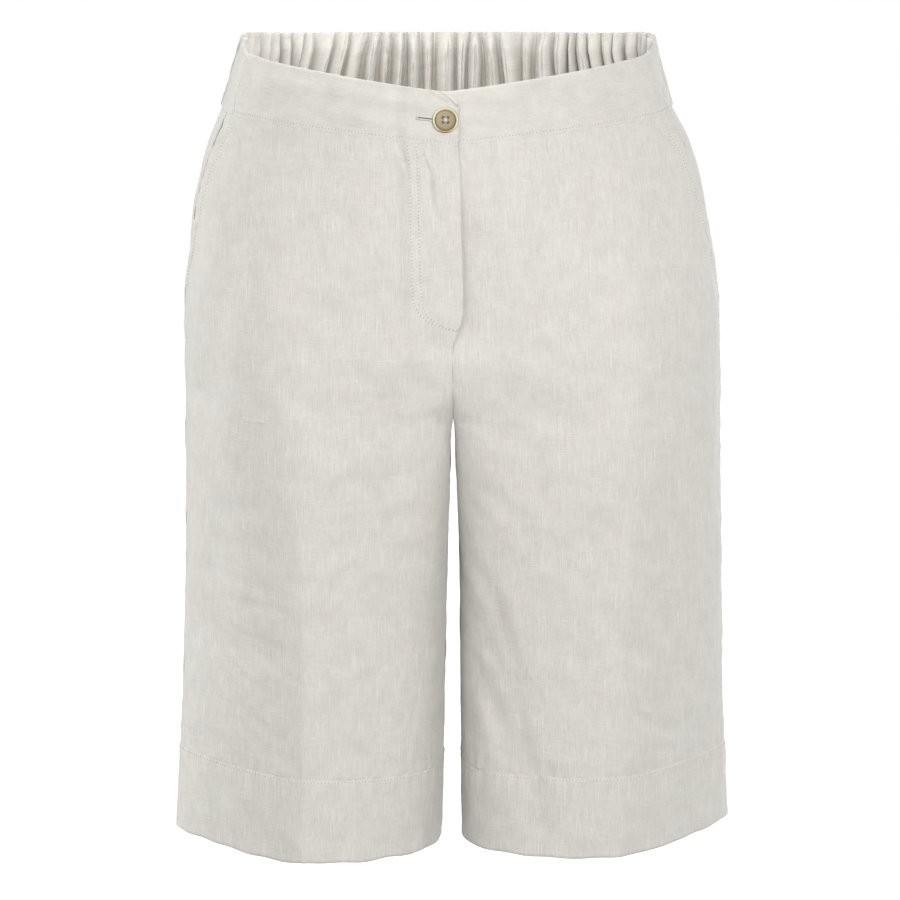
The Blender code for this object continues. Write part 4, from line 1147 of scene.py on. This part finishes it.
for side, word in SIDES:
    grid = Grid(side, hem_heights, hem_places)
    below = HEM_SEAM - grid.row
    girth = grid.column("front_end") + grid.column("back_end")
    behind = np.arange(grid.place.shape[1]) >= HEM_SIDE_COLUMNS + INNER_EVEN + INNER_COLUMNS
    round_leg = grid.place - girth * behind
    wave = 0.00030 * crumple(round_leg, grid.row, 0.030, 171 + side)
    lift = wave - creased(grid) + 0.0003 * ease(below / 0.003)
    lift += 0.00045 * pucker(round_leg, below - 0.002, 0.0095, 0.011, 181 + side)
    lift -= 0.00020 * decay(below, 0.0016)
    edge = 0.0007 * crumple(round_leg, 0 * round_leg, 0.045, 191 + side) * ease(below / 0.05)
    outer, inner = grid.points(lift, edge), grid.points(lift - HEM_WALL + HEM_PROUD, edge)
    cut = np.stack([round_leg, grid.z], axis=2)
    hem = cloth_mesh("hem_cloth_" + word, outer, inner, cut, ring=True, round_edges=(0, 0, 0.0008, 0))
    finish_cloth(hem, "hem_" + word, panel_linen, outer)
    path, normals = along_line(grid, outer, HEM_SEAM - HEM_STITCH)
    stitches("topstitch_hem_" + word, path, normals)

# ---- buttonhole ----------------------------------------------------------------------------
# A slit along the right band's end, cut through both layers and worked round with close stitches,
# with a tack at its outer end. The button hides its inner end.
BUTTON_X, BUTTON_HEIGHT = -0.001, -0.0081
KNOTS = 45
hole_grid = Grid(RIGHT, [BUTTON_HEIGHT],
                 lambda loop: -loop.front_end + np.linspace(0.0205, 0.006, KNOTS))
hole_lift = lap_lift(hole_grid, BAND_WALL + LAP_CLEARANCE) + BAND_PROUD
slit_line = hole_grid.points(hole_lift + 0.00010)[0]
face = hole_grid.normals()[0]


def tube(name, rings):
    """Closed tube through rings of points, an array of rings by points by three."""
    count, sides = rings.shape[:2]
    ends = [np.arange(sides)[::-1].tolist(), (sides * (count - 1) + np.arange(sides)).tolist()]
    return from_faces(name, rings, tube_faces(count, sides).tolist() + ends)


def cord(name, path, normals, radius, material, flat=0.6):
    """Tube of eight sides along a path, flattened against what it lies on, with closed ends."""
    along = np.gradient(path, axis=0)
    along /= np.linalg.norm(along, axis=1)[:, None]
    across = np.cross(along, normals)
    across /= np.linalg.norm(across, axis=1)[:, None]
    turn = math.tau * np.arange(8) / 8
    radius = radius * np.ones(len(path))
    ring = (across[:, None] * np.cos(turn)[:, None]
            + normals[:, None] * flat * np.sin(turn)[:, None]) * radius[:, None, None]
    piece = tube(name, path[:, None] + ring)
    piece.data.shade_smooth()
    piece.data.materials.append(material)
    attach(piece, "root")


slit_shadow = Finish("slit_shadow", roughness=1.0, specular=0.0, colour=(0.16, 0.145, 0.12)).material
cord("buttonhole_slit", (slit_line + 0.00022 * face)[2:-1], face[2:-1], 0.00042, slit_shadow,
     flat=0.4)
hole_thread = Finish("buttonhole_thread", roughness=0.6, specular=0.3, colour=(0.60, 0.575, 0.515)).material
knots = 1 + 0.22 * np.sin(math.tau * np.arange(KNOTS) / 2.2)
for name, offset in (("upper", 0.00085), ("lower", -0.00085)):
    cord("buttonhole_bar_" + name, slit_line + np.array([0, 0, offset]), face, 0.00055 * knots,
         hole_thread, flat=0.35)
tack = slit_line[:1] + np.array([0, 0, 1]) * np.linspace(-0.0012, 0.0012, 7)[:, None]
cord("buttonhole_tack", tack, face[:1] + 0 * tack, 0.0005, hole_thread, flat=0.45)

# ---- button --------------------------------------------------------------------------------
# A turned four-hole button in horn-coloured resin, with a raised rim and a sunk face, sewn on
# with a cross of cream thread.
BUTTON_RADIUS, BUTTON_GAP = 0.0090, 0.0003
HOLE_RADIUS, HOLE_CIRCLE = 0.00105, 0.0024
HOLE_FLOOR, DRILL_TOP = 0.0005, 0.01
# Share of the radius, and height over the back, from the face's middle over the rim to the back's.
BUTTON_PROFILE = (
    (0.0, 0.00160), (0.30, 0.00162), (0.60, 0.00168), (0.74, 0.00184), (0.79, 0.00212),
    (0.83, 0.00260), (0.87, 0.00308), (0.905, 0.00332), (0.935, 0.00336), (0.965, 0.00314),
    (0.985, 0.00272), (1.0, 0.00215), (0.99, 0.00160), (0.95, 0.00100), (0.86, 0.00045),
    (0.74, 0.00015), (0.60, 0.00005), (0.0, 0.00005))
seat_grid = Grid(RIGHT, [BUTTON_HEIGHT + 0.012, BUTTON_HEIGHT],
                 lambda loop: [-loop.front_end - BUTTON_X])
above, seat = seat_grid.points(BAND_PROUD + BAND_WALL + LAP_CLEARANCE + 0 * seat_grid.x)[:, 0]
tilt = math.atan2(above[1] - seat[1], above[2] - seat[2])
out = np.array([0, -math.cos(tilt), math.sin(tilt)])
up = np.array([0, math.sin(tilt), math.cos(tilt)])
right = np.array([1.0, 0, 0])
button_seat = seat + out * BUTTON_GAP


def on_button(x, y, z):
    """Points on the button from its own coordinates: across, up and out of its back."""
    x, y, z = (np.asarray(value, float)[..., None] for value in (x, y, z))
    return button_seat + x * right + y * up + z * out


steps = 96
turn = math.tau * np.arange(steps) / steps
radii, rises = np.array(BUTTON_PROFILE[1:-1]).T
fine = np.linspace(0, len(radii) - 1, 61)
radii = np.interp(fine, np.arange(len(radii)), radii) * BUTTON_RADIUS
rises = np.interp(fine, np.arange(len(rises)), rises)
rings = on_button(radii[:, None] * np.cos(turn), radii[:, None] * np.sin(turn), rises[:, None] + 0 * turn)
middles = on_button([0, 0], [0, 0], [BUTTON_PROFILE[0][1], BUTTON_PROFILE[-1][1]])
points = np.concatenate([rings.reshape(-1, 3), middles])
last = steps * (len(radii) - 1)
round_rim = [(a, (a + 1) % steps) for a in range(steps)]
faces = np.roll(tube_faces(len(radii), steps)[:, ::-1], 1, axis=1).tolist()
faces += [[len(points) - 2, a, b] for a, b in round_rim]
faces += [[len(points) - 1, last + b, last + a] for a, b in round_rim]
turned = from_faces("button_turned", points, faces)
horn = Finish("horn", roughness=0.42, specular=0.4)
spot = horn.node("ShaderNodeVectorMath", {"operation": "SUBTRACT"},
                 {0: horn.node("ShaderNodeTexCoord")[3], 1: button_seat.tolist()})[0]
away_x, _, away_z = horn.node("ShaderNodeSeparateXYZ", {}, {0: spot})
from_axis = (away_x * away_x + away_z * away_z) ** 0.5 / BUTTON_RADIUS
cloudy = horn.noise(horn.scaled(spot, 420.0), detail=2.0)
horn_colour = horn.ramp(from_axis + (cloudy - 0.5) * 0.05, (
    (0.0, (0.255, 0.205, 0.110)), (0.70, (0.235, 0.185, 0.095)), (0.80, (0.170, 0.120, 0.045)),
    (0.86, (0.640, 0.590, 0.430)), (0.94, (0.760, 0.720, 0.570)), (1.0, (0.420, 0.300, 0.100))))
# Painted shade: the rim's lower side turns a dark amber.
low = horn.ramp(away_z / -BUTTON_RADIUS, ((0.62, 0.0), (0.90, 1.0)))
painted_low_rim_shade = low * horn.ramp(from_axis, ((0.80, 0.0), (0.88, 1.0)))
horn_colour = horn.mix(painted_low_rim_shade * 0.95, horn_colour, (0.360, 0.210, 0.045))
over_back = {0: spot, 1: out.tolist()}
# Painted shade: the colour goes near black deep inside the four holes.
height_in_button = horn.node("ShaderNodeVectorMath", {"operation": "DOT_PRODUCT"}, over_back)[1]
deep = horn.ramp(height_in_button * 400, ((0.56, 1.0), (0.62, 0.0)))
painted_button_hole_shade = deep * horn.ramp(from_axis, ((0.55, 1.0), (0.65, 0.0)))
horn_colour = horn.mix(painted_button_hole_shade, horn_colour, (0.060, 0.026, 0.008))
horn.link(horn_colour, "Base Color")
turned.data.materials.append(horn.material)
drills = []
for number in range(4):
    angle = math.radians(45 + 90 * number)
    ring = on_button(HOLE_CIRCLE * math.cos(angle) + HOLE_RADIUS * np.cos(turn[::3]),
                     HOLE_CIRCLE * math.sin(angle) + HOLE_RADIUS * np.sin(turn[::3]), 0 * turn[::3])
    drills.append(tube("drill_%d" % number, np.stack([ring + HOLE_FLOOR * out, ring + DRILL_TOP * out])))
    hole = turned.modifiers.new("hole", "BOOLEAN")
    hole.operation, hole.object = "DIFFERENCE", drills[-1]
drilled = bpy.data.meshes.new_from_object(turned.evaluated_get(bpy.context.evaluated_depsgraph_get()))
turned.modifiers.clear()
for drill in drills:
    bpy.data.objects.remove(drill)
turned.data = drilled
drilled.shade_smooth()
drilled.set_sharp_from_angle(angle=math.radians(35))
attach(turned, "root")
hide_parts("button")
cream = Finish("button_thread", roughness=0.55, specular=0.3, colour=(0.60, 0.56, 0.46)).material
reach = (HOLE_CIRCLE - 0.0004) * math.cos(math.radians(45))
run = np.linspace(-1, 1, 15)
for name, lean, over in (("rising", 1, 0.00008), ("falling", -1, 0.00045)):
    for strand in (-1, 1):
        shift = 0.00020 * strand
        path = on_button(reach * run - lean * shift, lean * reach * run + shift,
                         0.00175 + over + 0.00045 * (1 - run ** 2) - 0.0016 * np.abs(run) ** 9)
        cord("button_thread_%s_%d" % (name, strand), path, out + 0 * path, 0.00031, cream,
             flat=1.0)

# ---- studio ------------------------------------------------------------------------------------
# A white room with a pale floor well below the shorts. A broad key lights them from the front on
# the +X side, a weak fill from the -X side, a small lamp inside the waist and two from behind.
FLOOR_REACH, FLOOR_HEIGHT = 12.0, -1.2
floor_corners = [(x * FLOOR_REACH, y * FLOOR_REACH, FLOOR_HEIGHT)
                 for x, y in ((-1, -1), (1, -1), (1, 1), (-1, 1))]
floor = from_faces("floor", np.array(floor_corners), [(0, 1, 2, 3)])
floor_finish = Finish("floor_white", roughness=0.9, specular=0.0, colour=(0.9, 0.9, 0.9))
floor_finish.shader.inputs["Emission Color"].default_value = (1, 1, 1, 1)
floor_finish.shader.inputs["Emission Strength"].default_value = 0.9
floor.data.materials.append(floor_finish.material)
floor.visible_diffuse = False

world = bpy.data.worlds.new("studio")
world.use_nodes = True
soft_light = world.node_tree.nodes["Background"]
soft_light.inputs["Color"].default_value = (1, 1, 1, 1)
soft_light.inputs["Strength"].default_value = 0.36
white_wall = world.node_tree.nodes.new("ShaderNodeBackground")
white_wall.inputs["Color"].default_value = (1, 1, 1, 1)
seen = world.node_tree.nodes.new("ShaderNodeLightPath")
wall_or_light = world.node_tree.nodes.new("ShaderNodeMixShader")
surface = world.node_tree.nodes["World Output"].inputs["Surface"]
for output, socket in ((seen.outputs["Is Camera Ray"], wall_or_light.inputs[0]),
                       (soft_light.outputs[0], wall_or_light.inputs[1]),
                       (white_wall.outputs[0], wall_or_light.inputs[2]),
                       (wall_or_light.outputs[0], surface)):
    world.node_tree.links.new(output, socket)
bpy.context.scene.world = world


def place_and_aim(thing, location, target):
    """Move a light or camera and turn it so that its -Z axis points at a target."""
    thing.location = location
    thing.rotation_euler = (Vector(target) - thing.location).to_track_quat("-Z", "Y").to_euler()


LIGHTS = (
    "name size watts x y z",
    ("key", 1.0, 67, 0.46, -2.76, 0.60),
    ("fill", 1.0, 12, -1.10, -2.60, 0.40),
    ("inside", 0.12, 0.36, -0.035, -0.045, 0.17),
    ("rim_right", 0.8, 44, -2.10, 1.00, -0.05),
    ("rim_left", 0.8, 24, 2.10, 1.00, -0.05),
)
for name, size, watts, x, y, z in LIGHTS[1:]:
    light_data = bpy.data.lights.new(name, "AREA")
    light_data.size, light_data.energy = size, watts
    place_and_aim(new_object(name, light_data), (x, y, z), (0, 0, -0.25))

camera_data = bpy.data.cameras.new("camera")
camera_data.lens, camera_data.sensor_width = 130.8, 36
camera = new_object("camera", camera_data)
place_and_aim(camera, (0, -2.4, 0), (0, 0, -0.282))
bpy.context.scene.camera = camera
bpy.context.scene.view_settings.view_transform = "Standard"
